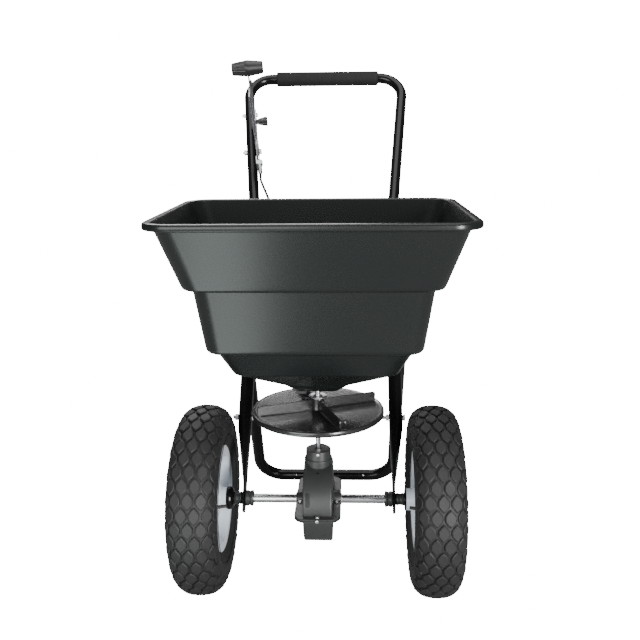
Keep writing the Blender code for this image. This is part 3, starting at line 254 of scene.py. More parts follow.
def finish(name, tone, rough, grain=900.0, patch=14.0, drift=0.15, spread=0.06, bump=0.05, depth=0.0004,
           metallic=0.0, coat=0.0, coat_rough=0.1, wear=0.0, worn=(0.35, 0.35, 0.35, 1), dust=0.0,
           shine=0.5, height=None):
    """A finish made of the shared groups; height may add a bump pattern of its own."""
    if name in FINISHES:
        return FINISHES[name]
    made = FINISHES[name] = bpy.data.materials.new(name)
    made.use_nodes = True
    tree = made.node_tree
    shader = tree.nodes["Principled BSDF"]
    surface = grouped(tree, "Surface", Colour=(*tone, 1), Drift=drift, Grain=grain, Patch=patch,
                      Roughness=rough, Spread=spread)
    shade = surface.outputs["Colour"]
    if wear:
        shade = mixed(tree, grouped(tree, "Edge wear", Amount=wear, Scale=70.0).outputs["Mask"], shade,
                      worn)
    if dust:
        shade = mixed(tree, grouped(tree, "Dust", Amount=dust).outputs["Mask"], shade,
                      (0.30, 0.29, 0.27, 1))
    relief = surface.outputs["Height"]
    if height:
        relief = math_node(tree, "ADD", relief, height(tree))
    bumped = tree.nodes.new("ShaderNodeBump")
    bumped.inputs["Strength"].default_value = bump
    bumped.inputs["Distance"].default_value = depth
    wire(tree, [(shade, shader.inputs["Base Color"]),
                (surface.outputs["Roughness"], shader.inputs["Roughness"]),
                (relief, bumped.inputs["Height"]), (bumped.outputs[0], shader.inputs["Normal"])])
    shader.inputs["Metallic"].default_value = metallic
    shader.inputs["Specular IOR Level"].default_value = shine
    shader.inputs["Coat Weight"].default_value = coat
    shader.inputs["Coat Roughness"].default_value = coat_rough
    return made


def drawn_lines(stretch):
    """Fine drawing lines along a bar: noise squeezed in the directions across it."""
    def height(tree):
        mapping = tree.nodes.new("ShaderNodeMapping")
        mapping.inputs["Scale"].default_value = stretch
        tree.links.new(tree.nodes.new("ShaderNodeTexCoord").outputs["Object"], mapping.inputs["Vector"])
        return noise(tree, mapping.outputs[0], 60.0, 4.0)
    return height


def turning_rings(centre, pitch, axis):
    """Rings about an axis, as from a moulding tool or a lathe."""
    def height(tree):
        mapping = tree.nodes.new("ShaderNodeMapping")
        mapping.inputs["Location"].default_value = -centre
        squeeze = [1.0, 1.0, 1.0]
        squeeze["XYZ".index(axis)] = 0.0
        flat = tree.nodes.new("ShaderNodeVectorMath")
        flat.operation = "MULTIPLY"
        flat.inputs[1].default_value = squeeze
        long = tree.nodes.new("ShaderNodeVectorMath")
        long.operation = "LENGTH"
        wire(tree, [(tree.nodes.new("ShaderNodeTexCoord").outputs["Object"], mapping.inputs["Vector"]),
                    (mapping.outputs[0], flat.inputs[0]), (flat.outputs["Vector"], long.inputs[0])])
        turns = math_node(tree, "MULTIPLY", long.outputs["Value"], 2 * pi / pitch)
        return math_node(tree, "MULTIPLY", math_node(tree, "SINE", turns, 0.0), 0.5)
    return height


def foam_cells(tree):
    cells = tree.nodes.new("ShaderNodeTexVoronoi")
    cells.inputs["Scale"].default_value = 1100.0
    tree.links.new(tree.nodes.new("ShaderNodeTexCoord").outputs["Object"], cells.inputs["Vector"])
    return cells.outputs["Distance"]


def enamel():
    return finish("black_enamel", tuple(bpy.context.scene.spreader_frame.paint), 0.20, grain=420.0,
                  patch=9.0,
                  bump=0.06, depth=0.0003, coat=0.0, shine=0.30)


def zinc():
    return finish("zinc_plate", tuple(bpy.context.scene.spreader_drive.zinc), 0.30, grain=700.0, patch=60.0,
                  drift=0.25, spread=0.16, bump=0.10, depth=0.0002, metallic=1.0)


def bright_bar(name, stretch):
    return finish(name, tuple(bpy.context.scene.spreader_drive.zinc), 0.24, grain=500.0, patch=40.0,
                  drift=0.2,
                  spread=0.12, bump=0.12, depth=0.0002, metallic=1.0, height=drawn_lines(stretch))


def steel():
    return finish("bright_steel", tuple(bpy.context.scene.spreader_drive.steel), 0.32, grain=800.0,
                  patch=70.0,
                  drift=0.2, spread=0.1, bump=0.08, depth=0.0002, metallic=1.0)


def moulded_black():
    return finish("moulded_black", tuple(bpy.context.scene.spreader_drive.case), 0.42, grain=1400.0,
                  patch=18.0,
                  bump=0.10, depth=0.0002, wear=0.12, worn=(0.10, 0.10, 0.10, 1), dust=0.02)


# ---------------------------------------------------------------- mesh tools
def skin(rings, closed=False):
    """Faces between rings of equal size; the ends are capped unless it closes on itself."""
    bm = bmesh.new()
    rows = [[bm.verts.new(point) for point in ring] for ring in rings]
    count = len(rows[0])
    for near, far in list(zip(rows, rows[1:])) + ([(rows[-1], rows[0])] if closed else []):
        for i in range(count):
            j = (i + 1) % count
            bm.faces.new((near[i], near[j], far[j], far[i]))
    if not closed:
        bm.faces.new(rows[0][::-1])
        bm.faces.new(rows[-1])
    return bm


def turn_profile(profile, centre, axis="X", sides=96):
    """A closed (offset along, radius) outline turned about an axis through centre."""
    rings = []
    for k in range(sides):
        c, s = cos(2 * pi * k / sides), sin(2 * pi * k / sides)
        arms = {"X": (0, c, s), "Z": (c, s, 0)}[axis]
        along = Vector((1, 0, 0)) if axis == "X" else Vector((0, 0, 1))
        rings.append([centre + along * h + Vector(arms) * r for h, r in profile])
    return skin(rings, closed=True)


def soft_outline(points, radius, steps=4):
    """A closed flat outline with each corner rounded, as far as its two sides leave room."""
    found = []
    count = len(points)
    for i, corner in enumerate(points):
        corner = Vector(corner)
        back, ahead = Vector(points[i - 1]) - corner, Vector(points[(i + 1) % count]) - corner
        reach = min(radius, back.length * 0.45, ahead.length * 0.45)
        first, last = corner + back.normalized() * reach, corner + ahead.normalized() * reach
        for k in range(steps + 1):
            t = k / steps
            found.append(tuple(first * (1 - t) ** 2 + corner * 2 * t * (1 - t) + last * t * t))
    return found


def button(root, radius, edge, edge_radius, top, rounding=0.0004, steps=2, sides=20):
    """A low domed head about Z, sunk by root; it rises to edge at edge_radius and to top in the middle."""
    cap = [(-root, 0.0001), (-root, radius), (edge, edge_radius), (top, 0.0001)]
    return turn_profile(soft_outline(cap, rounding, steps), Vector((0, 0, 0)), "Z", sides)


def round_route(corners, radius, steps=12):
    """A route through corner points with each inner corner turned into an arc."""
    route = [Vector(corners[0])]
    for before, at, after in zip(corners, corners[1:], corners[2:]):
        back, ahead = (before - at).normalized(), (after - at).normalized()
        half = back.angle(ahead) / 2
        middle_point = at + (back + ahead).normalized() * (radius / sin(half))
        reach = radius / tan(half)
        first, last = at + back * reach - middle_point, at + ahead * reach - middle_point
        swing = first.angle(last)
        for k in range(steps + 1):
            t = k / steps
            arm = first * (sin((1 - t) * swing) / sin(swing)) + last * (sin(t * swing) / sin(swing))
            route.append(middle_point + arm)
    route.append(Vector(corners[-1]))
    return route


def sweep(route, sizes, sides=32, across=Vector((1, 0, 0))):
    """A bar along a route; sizes gives (half across, half the other way) at each point."""
    if isinstance(sizes, float):
        sizes = [(sizes, sizes)] * len(route)
    carried, rings = None, []
    for i, point in enumerate(route):
        ahead = (route[min(i + 1, len(route) - 1)] - route[max(i - 1, 0)]).normalized()
        guide = across if carried is None else carried
        u = (guide - ahead * guide.dot(ahead)).normalized()
        carried = u
        v = ahead.cross(u)
        a, b = sizes[i]
        rings.append([point + u * (a * cos(2 * pi * k / sides)) + v * (b * sin(2 * pi * k / sides))
                      for k in range(sides)])
    return skin(rings)


def slab(outline, low, high, rounding=0.0):
    """A flat outline of (x, y) points given a thickness, with its edges drawn in a little."""
    if not rounding:
        return skin([[Vector((x, y, z)) for x, y in outline] for z in (low, high)])
    cx = sum(p[0] for p in outline) / len(outline)
    cy = sum(p[1] for p in outline) / len(outline)
    size = max(max(abs(x - cx), abs(y - cy)) for x, y in outline)
    rings = []
    for z, inset in ((low, rounding), (low + rounding * 0.3, rounding * 0.3), (low + rounding, 0),
                     (high - rounding, 0), (high - rounding * 0.3, rounding * 0.3), (high, rounding)):
        share = 1 - inset / size
        rings.append([Vector((cx + (x - cx) * share, cy + (y - cy) * share, z)) for x, y in outline])
    return skin(rings)


def frame_slab(outer, inner, low, high, rounding):
    """A flat frame between two outlines of equal count, with its outer edges drawn in a little."""
    rings = [[Vector((x, y, z)) for x, y in inner] for z in (high, low)]
    for z, inset in ((low, rounding), (low + rounding, 0), (high - rounding, 0), (high, rounding)):
        rings.append([Vector((x - inset * (1 if x > 0 else -1), y - inset * (1 if y > 0 else -1), z))
                      for x, y in outer])
    return skin(rings, closed=True)


def box_mesh(low, high):
    bm = bmesh.new()
    bmesh.ops.create_cube(bm, size=1)
    low, high = Vector(low), Vector(high)
    bmesh.ops.scale(bm, vec=high - low, verts=bm.verts)
    bmesh.ops.translate(bm, vec=(high + low) / 2, verts=bm.verts)
    return bm


def merged(*parts):
    """Several bmeshes as one; a pair (bmesh, matrix) is moved first."""
    whole = bmesh.new()
    for part in parts:
        bm, at = part if isinstance(part, tuple) else (part, None)
        if at is not None:
            bmesh.ops.transform(bm, matrix=at, verts=bm.verts)
        bmesh.ops.recalc_face_normals(bm, faces=bm.faces)
        mesh = bpy.data.meshes.new("loose")
        bm.to_mesh(mesh)
        bm.free()
        whole.from_mesh(mesh)
        bpy.data.meshes.remove(mesh)
    return whole


def piece(name, bm, body, material, stands_for=(), angle=35):
    """Makes a piece, gives it its finish and sets it on its body."""
    bmesh.ops.recalc_face_normals(bm, faces=bm.faces)
    mesh = bpy.data.meshes.new(name)
    bm.to_mesh(mesh)
    bm.free()
    mesh.materials.append(material)
    made = bpy.data.objects.new(name, mesh)
    bpy.context.scene.collection.objects.link(made)
    mesh.shade_smooth()
    mesh.set_sharp_from_angle(angle=radians(angle))
    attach(made, body)
    if stands_for:
        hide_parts(*stands_for)
    return made


def refinish(material, *nodes):
    """Gives CAD nodes their finish."""
    for name in nodes:
        node = frame["nodes"][name]
        node.data.materials.clear()
        node.data.materials.append(material)


# ---------------------------------------------------------------- wheels
SECTION_ARC = 118       # degrees from the crown down to the bead, each way
SECTION_R = 0.124       # radius at which the tyre is widest
SECTION_FALL = 0.030    # from there in to the bead
SIDE_RELIEF = 0.0008    # sidewall inside the stated half width
FULLNESS = 0.80         # under 1 squares the section's shoulders
EDGE_ROW, EDGE_SHARE, ROW_SPACING = 4, 0.50, 1.25
ROOT = -0.0006          # how far blocks are sunk into the carcass
SHOULDER_LOSS = 0.40    # share of the tread depth that the outermost row lacks


def tyre_section(t):
    """(offset, radius) at a share t across the tyre's section, -1 to 1, over the crown."""
    wheels = bpy.context.scene.spreader_wheels
    a = t * radians(SECTION_ARC)
    half, tall = wheels.half_width - SIDE_RELIEF, wheels.radius - wheels.block_depth - SECTION_R
    c, s = cos(a), sin(a)
    x = half * (abs(s) ** FULLNESS) * (1 if s > 0 else -1)
    y = (abs(c) ** FULLNESS) * (1 if c > 0 else -1)
    return x, SECTION_R + (tall if y > 0 else SECTION_FALL) * y


def tyre_point(t, turn, lift, centre):
    x, r = tyre_section(t)
    x2, r2 = tyre_section(min(1.0, t + 0.01))
    x1, r1 = tyre_section(max(-1.0, t - 0.01))
    along = Vector((x2 - x1, r2 - r1)).normalized()
    out = Vector((-along.y, along.x))
    x, r = x + out.x * lift, r + out.y * lift
    return centre + Vector((x, r * sin(turn), r * cos(turn)))


def row_share(row):
    """Where a tread row lies on the section, in even steps over the crown."""
    return (1 if row > 0 else -1) * EDGE_SHARE * (abs(row) / EDGE_ROW) ** ROW_SPACING


TREAD_BLOCK = ((0, -0.64), (0.42, -0.46), (0.84, -0.20), (0.88, 0), (0.84, 0.20), (0.42, 0.46), (0, 0.64),
               (-0.42, 0.46), (-0.84, 0.20), (-0.88, 0), (-0.84, -0.20), (-0.42, -0.46))
SHOULDER_LUG = ((0, -0.35), (0, 0.35), (0.4, 1.0), (1, 0.8), (1, -0.8), (0.4, -1.0))
LONG_LUG, SHORT_LUG = (0.520, 0.630, 0.0020, 0.62), (0.610, 0.680, 0.0008, 0.34)  # from, to, height, width
TYRE_INSIDE = ((0.0285, 0.1000), (0.0330, 0.1200), (0.0300, 0.1400), (0, 0.1480), (-0.0300, 0.1400),
               (-0.0330, 0.1200), (-0.0285, 0.1000))
BEAD_HALF, BEAD_LINE = 0.0300, (0.0405, 0.112)
RIM_FLANGE = ((-0.0335, 0.0735), (-0.0335, 0.0900), (-0.0325, 0.0930), (-0.0300, 0.0935), (-0.0290, 0.0915),
              (-0.0300, 0.0790), (-0.0270, 0.0768))
RIM_DISH = ((0.0310, 0.0735), (0.0080, 0.0725), (-0.0010, 0.0680), (-0.0060, 0.0600), (-0.0210, 0.0290),
            (-0.0230, 0.0200), (-0.0248, 0.0200), (-0.0236, 0.0300), (-0.0086, 0.0612), (-0.0040, 0.0700),
            (-0.0100, 0.0735))
RIVET = ((-0.0016, 0.0001), (-0.0016, 0.0036), (0.0020, 0.0040), (0.0020, 0.0001))
RIVETS, RIVET_X, RIVET_R = 4, -0.0175, 0.036
HUB_BORE, HUB_R = 0.0084, 0.0193


def raised(bm, rings):
    """A block that stands on the tyre: walls between the rings and a top, open below."""
    rows = [[bm.verts.new(point) for point in ring] for ring in rings]
    count = len(rows[0])
    for near, far in zip(rows, rows[1:]):
        for i in range(count):
            j = (i + 1) % count
            bm.faces.new((near[i], near[j], far[j], far[i]))
    bm.faces.new(rows[-1])


def tyre_mesh(centre):
    wheels = bpy.context.scene.spreader_wheels
    bead = wheels.rim_radius + 0.0004
    outer = [tyre_section(k / 28) for k in range(-28, 29)]
    inner = [(BEAD_HALF, bead), *TYRE_INSIDE, (-BEAD_HALF, bead)]
    carcass = turn_profile(outer + inner, centre, "X", 128)
    blocks = bmesh.new()
    half_turn = pi / wheels.blocks
    for row in range(-EDGE_ROW, EDGE_ROW + 1):
        for number in range(wheels.blocks):
            turn = 2 * half_turn * (number + (0.5 if row % 2 else 0))
            deep = wheels.block_depth * (1 - SHOULDER_LOSS * (row / EDGE_ROW) ** 2)
            rings = [[tyre_point(row_share(row + u * share), turn + v * half_turn * share, lift, centre)
                      for u, v in TREAD_BLOCK]
                     for lift, share in ((ROOT, 1.0), (deep * 0.72, 0.95), (deep, 0.80))]
            raised(blocks, rings)
    lugs = bmesh.new()
    for side in (-1, 1):
        for number in range(wheels.blocks * 2):
            start, end, tall, wide = LONG_LUG if number % 2 else SHORT_LUG
            rings = [[tyre_point(side * (start + (end - start) * (0.5 + (u - 0.5) * share)),
                                 half_turn * number + v * half_turn * wide * share, lift, centre)
                      for u, v in SHOULDER_LUG] for lift, share in ((ROOT, 1.0), (tall * 0.7, 0.93), (tall, 0.78))]
            raised(lugs, rings)
    return merged(carcass, blocks, lugs)


def bead_line(centre, side, offset, radius):
    route = [centre + Vector((side * offset, radius * sin(a), radius * cos(a)))
             for a in (2 * pi * k / 96 for k in range(97))]
    return sweep(route, 0.0007, 8)


class SPREADER_OT_tyres(bpy.types.Operator):
    """Moulds both tyres with their diamond tread blocks and shoulder lugs"""
    bl_idname = "spreader.tyres"
    bl_label = "Tyres"

    def execute(self, context):
        wheels = context.scene.spreader_wheels
        rubber = finish("tread_rubber", tuple(wheels.rubber), 0.62, grain=700.0, patch=30.0, drift=0.5,
                        spread=0.25, bump=0.35, depth=0.0004, dust=0.05)
        for word, body in (("left", "drive_wheel"), ("right", "free_wheel")):
            centre = middle(f"tyre_{word}")
            mesh = merged(tyre_mesh(centre), bead_line(centre, 1, *BEAD_LINE), bead_line(centre, -1, *BEAD_LINE))
            piece(f"tread_{word}", mesh, body, rubber, (f"tyre_{word}",), angle=28)
        return {"FINISHED"}


class SPREADER_OT_rims(bpy.types.Operator):
    """Presses the wheel discs, rolls their flanges and fits hubs, rivets and valve stems"""
    bl_idname = "spreader.rims"
    bl_label = "Rims"

    def execute(self, context):
        wheels = context.scene.spreader_wheels
        white = finish("rim_enamel", tuple(wheels.rim), 0.30, grain=300.0, patch=8.0, drift=0.06, bump=0.04,
                       depth=0.0003, coat=0.3, wear=0.12, worn=(0.45, 0.46, 0.48, 1))
        for word, side, body in (("left", -1, "drive_wheel"), ("right", 1, "free_wheel")):
            centre = middle(f"tyre_{word}")
            low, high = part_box(f"rim_{word}")
            hub_in = (high.x if side < 0 else low.x) - centre.x
            hub_out = (low.x if side < 0 else high.x) - centre.x
            reach_in, reach_out = abs(hub_in), abs(hub_out)
            line = [*RIM_FLANGE, *((-x, r) for x, r in RIM_FLANGE[::-1]), *RIM_DISH]
            shell = turn_profile([(side * x, r) for x, r in soft_outline(line, 0.0030, 3)], centre, "X", 96)
            rivet = soft_outline([(x * side, r) for x, r in RIVET], 0.0008, 2)
            rivets = []
            for k in range(RIVETS):
                a = pi / 4 + 2 * pi * k / RIVETS
                at = Vector((RIVET_X * side, RIVET_R * sin(a), RIVET_R * cos(a)))
                rivets.append(turn_profile(rivet, centre + at, "X", 16))
            piece(f"wheel_disc_{word}", merged(shell, *rivets), body, white, (f"rim_{word}",),
                  angle=40)
            end, cap = -reach_in * side, -(reach_in - (0.0130 if word == "left" else 0.0026)) * side
            barrel = soft_outline([(cap, HUB_BORE), (cap, HUB_R), (-0.0260 * side, HUB_R), (-0.0240 * side, 0.0250),
                                   (-0.0205 * side, 0.0255), (reach_out * 0.7 * side, 0.0165),
                                   (reach_out * side, 0.0160), (reach_out * side, HUB_BORE)], 0.0014, 3)
            piece(f"hub_{word}", turn_profile(barrel, centre, "X", 64), body, white, angle=40)
            near = cap + (end - cap) * 0.06
            dome = [(near, HUB_BORE), (near, 0.0200), (cap + (end - cap) * 0.35, 0.0204),
                    (cap + (end - cap) * 0.75, 0.0186), (end, 0.0140), (end, HUB_BORE)]
            piece(f"hub_cap_{word}", turn_profile(soft_outline(dome, 0.0020, 3), centre, "X", 64), body,
                  enamel(), angle=40)
        refinish(finish("valve_moulding", (0.02, 0.02, 0.02), 0.55, bump=0.1), "valve_left", "valve_right")
        return {"FINISHED"}


# ---------------------------------------------------------------- axle, shaft and gears
BEARING_BORE, BEARING_NECK = 0.0083, 0.0101


class SPREADER_OT_axle(bpy.types.Operator):
    """Turns the axle, its bearings and spacers, and finishes the pins and gears"""
    bl_idname = "spreader.axle"
    bl_label = "Axle and gears"

    def execute(self, context):
        low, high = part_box("axle")
        half = (high.x - low.x) / 2
        radius = (high.z - low.z) / 2
        bar = soft_outline([(-half, 0.0002), (-half, radius), (half, radius), (half, 0.0002)], 0.0012, 2)
        piece("axle_bar", turn_profile(bar, Vector((0, AXLE.y, AXLE.z)), "X", 48), "drive_wheel",
              bright_bar("drawn_axle", (2.0, 60.0, 60.0)), ("axle",))
        black = moulded_black()
        for word in ("left", "right"):
            for kind in ("axle_bearing", "hub_spacer"):
                node = f"{kind}_{word}"
                low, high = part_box(node)
                half, outer = (high.x - low.x) / 2, (high.z - low.z) / 2
                if kind == "hub_spacer":
                    ring = [(-half, BEARING_BORE), (-half, outer - 0.001), (-half * 0.45, outer),
                            (-half * 0.35, outer - 0.0014), (half * 0.35, outer - 0.0014),
                            (half * 0.45, outer), (half, outer - 0.001), (half, BEARING_BORE)]
                else:
                    inner = 1 if word == "left" else -1
                    ring = [(-half, BEARING_BORE), (-half, BEARING_NECK), (half - 0.0130, BEARING_NECK),
                            (half - 0.0130, outer), (half - 0.0085, outer), (half - 0.0080, outer - 0.0012),
                            (half - 0.0045, outer - 0.0012), (half - 0.0040, outer), (half, outer),
                            (half, BEARING_BORE)]
                    ring = [(h * inner, r) for h, r in ring][::inner]
                piece(f"{kind}_ring_{word}",
                      turn_profile(soft_outline(ring, 0.0006, 2), (low + high) / 2, "X", 48),
                      "frame", black, (node,))
        low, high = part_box("impeller_shaft")
        half = (high.z - low.z) / 2
        rod = soft_outline([(-half, 0.0002), (-half, 0.0045), (half, 0.0045), (half, 0.0002)], 0.0008, 2)
        piece("shaft_bar", turn_profile(rod, SHAFT, "Z", 32), "spinner",
              bright_bar("drawn_shaft", (60.0, 60.0, 2.0)),
              ("impeller_shaft",))
        refinish(steel(), "cotter_left", "cotter_right", "drive_pin", "gear_pin", "impeller_pin",
                 "agitator",
                 "case_bush_left", "case_bush_right")
        refinish(zinc(), "thrust_washer")
        refinish(finish("cut_steel", (0.30, 0.30, 0.31), 0.4, metallic=1.0, bump=0.1), "pinion")
        refinish(finish("cut_nylon", (0.62, 0.60, 0.52), 0.45, bump=0.1), "crown_gear")
        return {"FINISHED"}


# ---------------------------------------------------------------- gear case
def rounded_box(half_x, half_y, radius, steps=8):
    points = []
    for quarter, (sx, sy) in enumerate(((1, 1), (-1, 1), (-1, -1), (1, -1))):
        for k in range(steps + 1):
            t = (quarter + k / steps) * pi / 2
            points.append((sx * (half_x - radius) + radius * cos(t),
                           sy * (half_y - radius) + radius * sin(t)))
    return points


class SPREADER_OT_gear_case(bpy.types.Operator):
    """Moulds the two halves of the gear case with its neck, flange, bosses and ribs, and lays its slot on as a
    patch of painted shade
    """
    bl_idname = "spreader.gear_case"
    bl_label = "Gear case"

    def execute(self, context):
        black = moulded_black()
        low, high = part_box("gear_case_upper")
        flange_x, flange_y = high.x, (high.y - low.y) / 2
        neck_top, split = high.z, AXLE.z
        drum_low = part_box("gear_case_lower")[0].z
        drum_r = split - drum_low
        half, lap = 0.0250, 0.0002
        drum = soft_outline([(-half, 0.0002), (-half, drum_r - 0.0004), (half, drum_r - 0.0004),
                             (half, 0.0002)], 0.0034, 4)
        upper = turn_profile(drum, AXLE, "X", 96)
        bmesh.ops.bisect_plane(upper, geom=upper.verts[:] + upper.edges[:] + upper.faces[:],
                               plane_co=(0, 0, split + lap), plane_no=(0, 0, -1), clear_outer=True)
        rim, opening = rounded_box(flange_x, flange_y, 0.020), rounded_box(0.0225, 0.0690, 0.006)
        flange = frame_slab(rim, opening, split + 0.00015, split + 0.0034, 0.0008)
        centre = Matrix.Translation((0, AXLE.y, 0))
        neck = turn_profile(soft_outline([(0.055, 0.0002), (0.055, 0.0244),
                                          (neck_top - split - 0.0165, 0.0244),
                                          (neck_top - split - 0.0150, 0.0222), (neck_top - split, 0.0216),
                                          (neck_top - split, 0.0048), (neck_top - split - 0.004, 0.0048),
                                          (neck_top - split - 0.004, 0.0002)], 0.0010, 3), AXLE, "Z", 64)
        bosses, ribs = [], []
        for side in (-1, 1):
            ring = soft_outline([(0.020 * side, 0.0002), (0.020 * side, 0.0158), (0.0385 * side, 0.0144),
                                 (0.0394 * side, 0.0110), (0.0394 * side, 0.0002)], 0.0012, 3)
            bosses.append(turn_profile(ring, AXLE, "X", 48))
            for slope in (-0.6, 0.6):
                rib = box_mesh((-0.0011, -0.0011, 0.0), (0.0011, 0.0011, 0.022))
                ribs.append((rib, Matrix.Translation(AXLE + Vector((side * 0.0262, slope * 0.030,
                                                                    0.0030)))))
        piece("case_top", merged(upper, (flange, centre), neck, *ribs), "frame", black,
              ("gear_case_upper",), angle=35)
        lower = turn_profile(drum, AXLE, "X", 96)
        bmesh.ops.bisect_plane(lower, geom=lower.verts[:] + lower.edges[:] + lower.faces[:],
                               plane_co=(0, 0, split - lap), plane_no=(0, 0, 1), clear_outer=True)
        flange = frame_slab(rim, opening, split - 0.0034, split - 0.00015, 0.0008)
        grey = finish("moulded_grey", (0.026, 0.028, 0.028), 0.46, grain=1400.0, patch=18.0, bump=0.22,
                      depth=0.0003)
        piece("case_bottom", merged(lower, (flange, centre)), "frame", grey,
              ("gear_case_lower",))
        piece("case_bosses", merged(*bosses), "frame", black)
        # The slot and a small hole are near-black patches laid on the drum, not cut into it: painted shade standing
        # in for their recesses.
        details = []
        for x, a, wide, tall in ((-0.0165, radians(24), 0.0035, 0.012), (0.0, radians(62), 0.0022, 0.002)):
            at = Vector((x, -drum_r * cos(a), drum_r * sin(a))) + AXLE
            patch = slab(rounded_box(wide, tall, min(wide, tall) * 0.95, 6), -0.0012, 0.0004, 0.0003)
            details.append((patch, Matrix.Translation(at) @ Matrix.Rotation(radians(90) - a, 4, "X")))
        # Near-black painted shade for the slot and hole.
        painted_shade = finish("case_recess_painted_shade", (0.004, 0.004, 0.004), 0.6, bump=0.1)
        piece("case_slot_painted_shade", merged(*details), "frame", painted_shade)
        heads = []
        for word in ("front", "rear", "left", "right"):
            low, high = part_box(f"case_screw_{word}")
            mid = (low + high) / 2
            top = high.z
            radius = (high.x - low.x) / 2
            cap = soft_outline([(-0.0026, 0.0001), (-0.0026, radius), (-0.0008, radius),
                                (0.0, radius * 0.55), (0.0, 0.0001)], 0.0006, 3)
            heads.append(turn_profile(cap, Vector((mid.x, mid.y, top)), "Z", 24))
        to_front = Matrix.Rotation(radians(90), 4, "X")
        heads.append((button(0.0008, 0.0030, 0.0012, 0.0026, 0.0018, 0.0006, 3, 24),
                      Matrix.Translation(here(0, -0.0218, neck_top - 0.0040)) @ to_front))
        heads.append((button(0.0008, 0.0034, 0.0014, 0.0030, 0.0020, 0.0006, 3, 24),
                      Matrix.Translation(here(0, -flange_y - 0.0002, split)) @ to_front))
        piece("case_screw_heads", merged(*heads), "frame", zinc(),
              tuple(f"case_screw_{word}" for word in ("front", "rear", "left", "right")))
        return {"FINISHED"}


# ---------------------------------------------------------------- spinner
class SPREADER_OT_disc(bpy.types.Operator):
    """Moulds the spinning disc with its rolled edge, four vanes, hub and rivet"""
    bl_idname = "spreader.disc"
    bl_label = "Spinning disc"

    def execute(self, context):
        low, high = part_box("impeller")
        radius = (high.x - low.x) / 2
        top = 0.3350
        tone = finish("disc_moulding", tuple(context.scene.spreader_drive.disc), 0.24, grain=900.0,
                      patch=12.0, bump=0.08, depth=0.0003, coat=0.25, coat_rough=0.12, dust=0.03,
                      height=turning_rings(Vector((0, AXLE.y, top)), 0.0030, "Z"))
        edge = soft_outline([(-0.0030, 0.0048), (-0.0030, radius - 0.0070), (low.z - top, radius - 0.0034),
                             (low.z - top, radius - 0.0004), (-0.0030, radius - 0.0002),
                             (0.0004, radius - 0.0012),
                             (0.0008, radius - 0.0040), (-0.0004, radius - 0.0070), (-0.0008, 0.0300),
                             (-0.0002, 0.0125), (high.z - top - 0.002, 0.0108), (high.z - top, 0.0100),
                             (high.z - top, 0.0048)], 0.0012, 3)
        disc = turn_profile(edge, Vector((0, AXLE.y, top)), "Z", 144)
        parts = [disc]
        for k in range(4):
            turn = Matrix.Translation((0, AXLE.y, 0)) @ Matrix.Rotation(radians(22 + 90 * k), 4, "Z")
            outline = soft_outline([(0.0095, top - 0.0012), (radius - 0.0080, top - 0.0012),
                                    (radius - 0.0066, top + 0.0130),
                                    (radius - 0.0090, top + 0.0168), (0.0120, top + 0.0168),
                                    (0.0095, top + 0.0190)],
                                   0.0030, 4)
            rings = []
            for y, inset in ((-0.0014, 0.0004), (-0.0010, 0.0), (0.0010, 0.0), (0.0014, 0.0004)):
                rings.append([Vector((x, y, z - (inset if z > top + 0.01 else 0))) for x, z in outline])
            parts.append((skin(rings), turn))
            foot = [(0.012, -0.0030), (radius - 0.012, -0.0030), (radius - 0.012, 0.0030), (0.012, 0.0030)]
            rings = [[Vector((x, y, top - 0.0010)) for x, y in foot],
                     [Vector((x, y * 0.45, top + 0.0012)) for x, y in foot]]
            parts.append((skin(rings), turn))
        piece("disc", merged(*parts), "spinner", tone, ("impeller",), angle=40)
        rivet = (button(0.0006, 0.0020, 0.0009, 0.0018, 0.0015),
                 Matrix.Translation(here(0.047, -0.064, top)))
        piece("disc_rivet", merged(rivet), "spinner", steel())
        return {"FINISHED"}


# ---------------------------------------------------------------- hopper and gate
HOPPER_LINE = ((0.0380, 0.0140, 0.3780), (0.0560, 0.0180, 0.3900), (0.1335, 0.0220, 0.4180),
               (0.1570, 0.0260, 0.4630), (0.1675, 0.0280, 0.4630), (0.1710, 0.0290, 0.4690),
               (0.1850, 0.0310, 0.5680), (0.1970, 0.0330, 0.5690), (0.2000, 0.0340, 0.5760),
               (0.2330, 0.0350, 0.6715))


def hopper_ring(half_x, radius, z):
    longer = 0.0530 * min(1.0, max(0.04, (half_x - 0.036) / 0.093))
    half_y = half_x - longer
    return [here(x, y, z) for x, y in rounded_box(half_x, half_y, min(radius, half_y * 0.9), 9)]


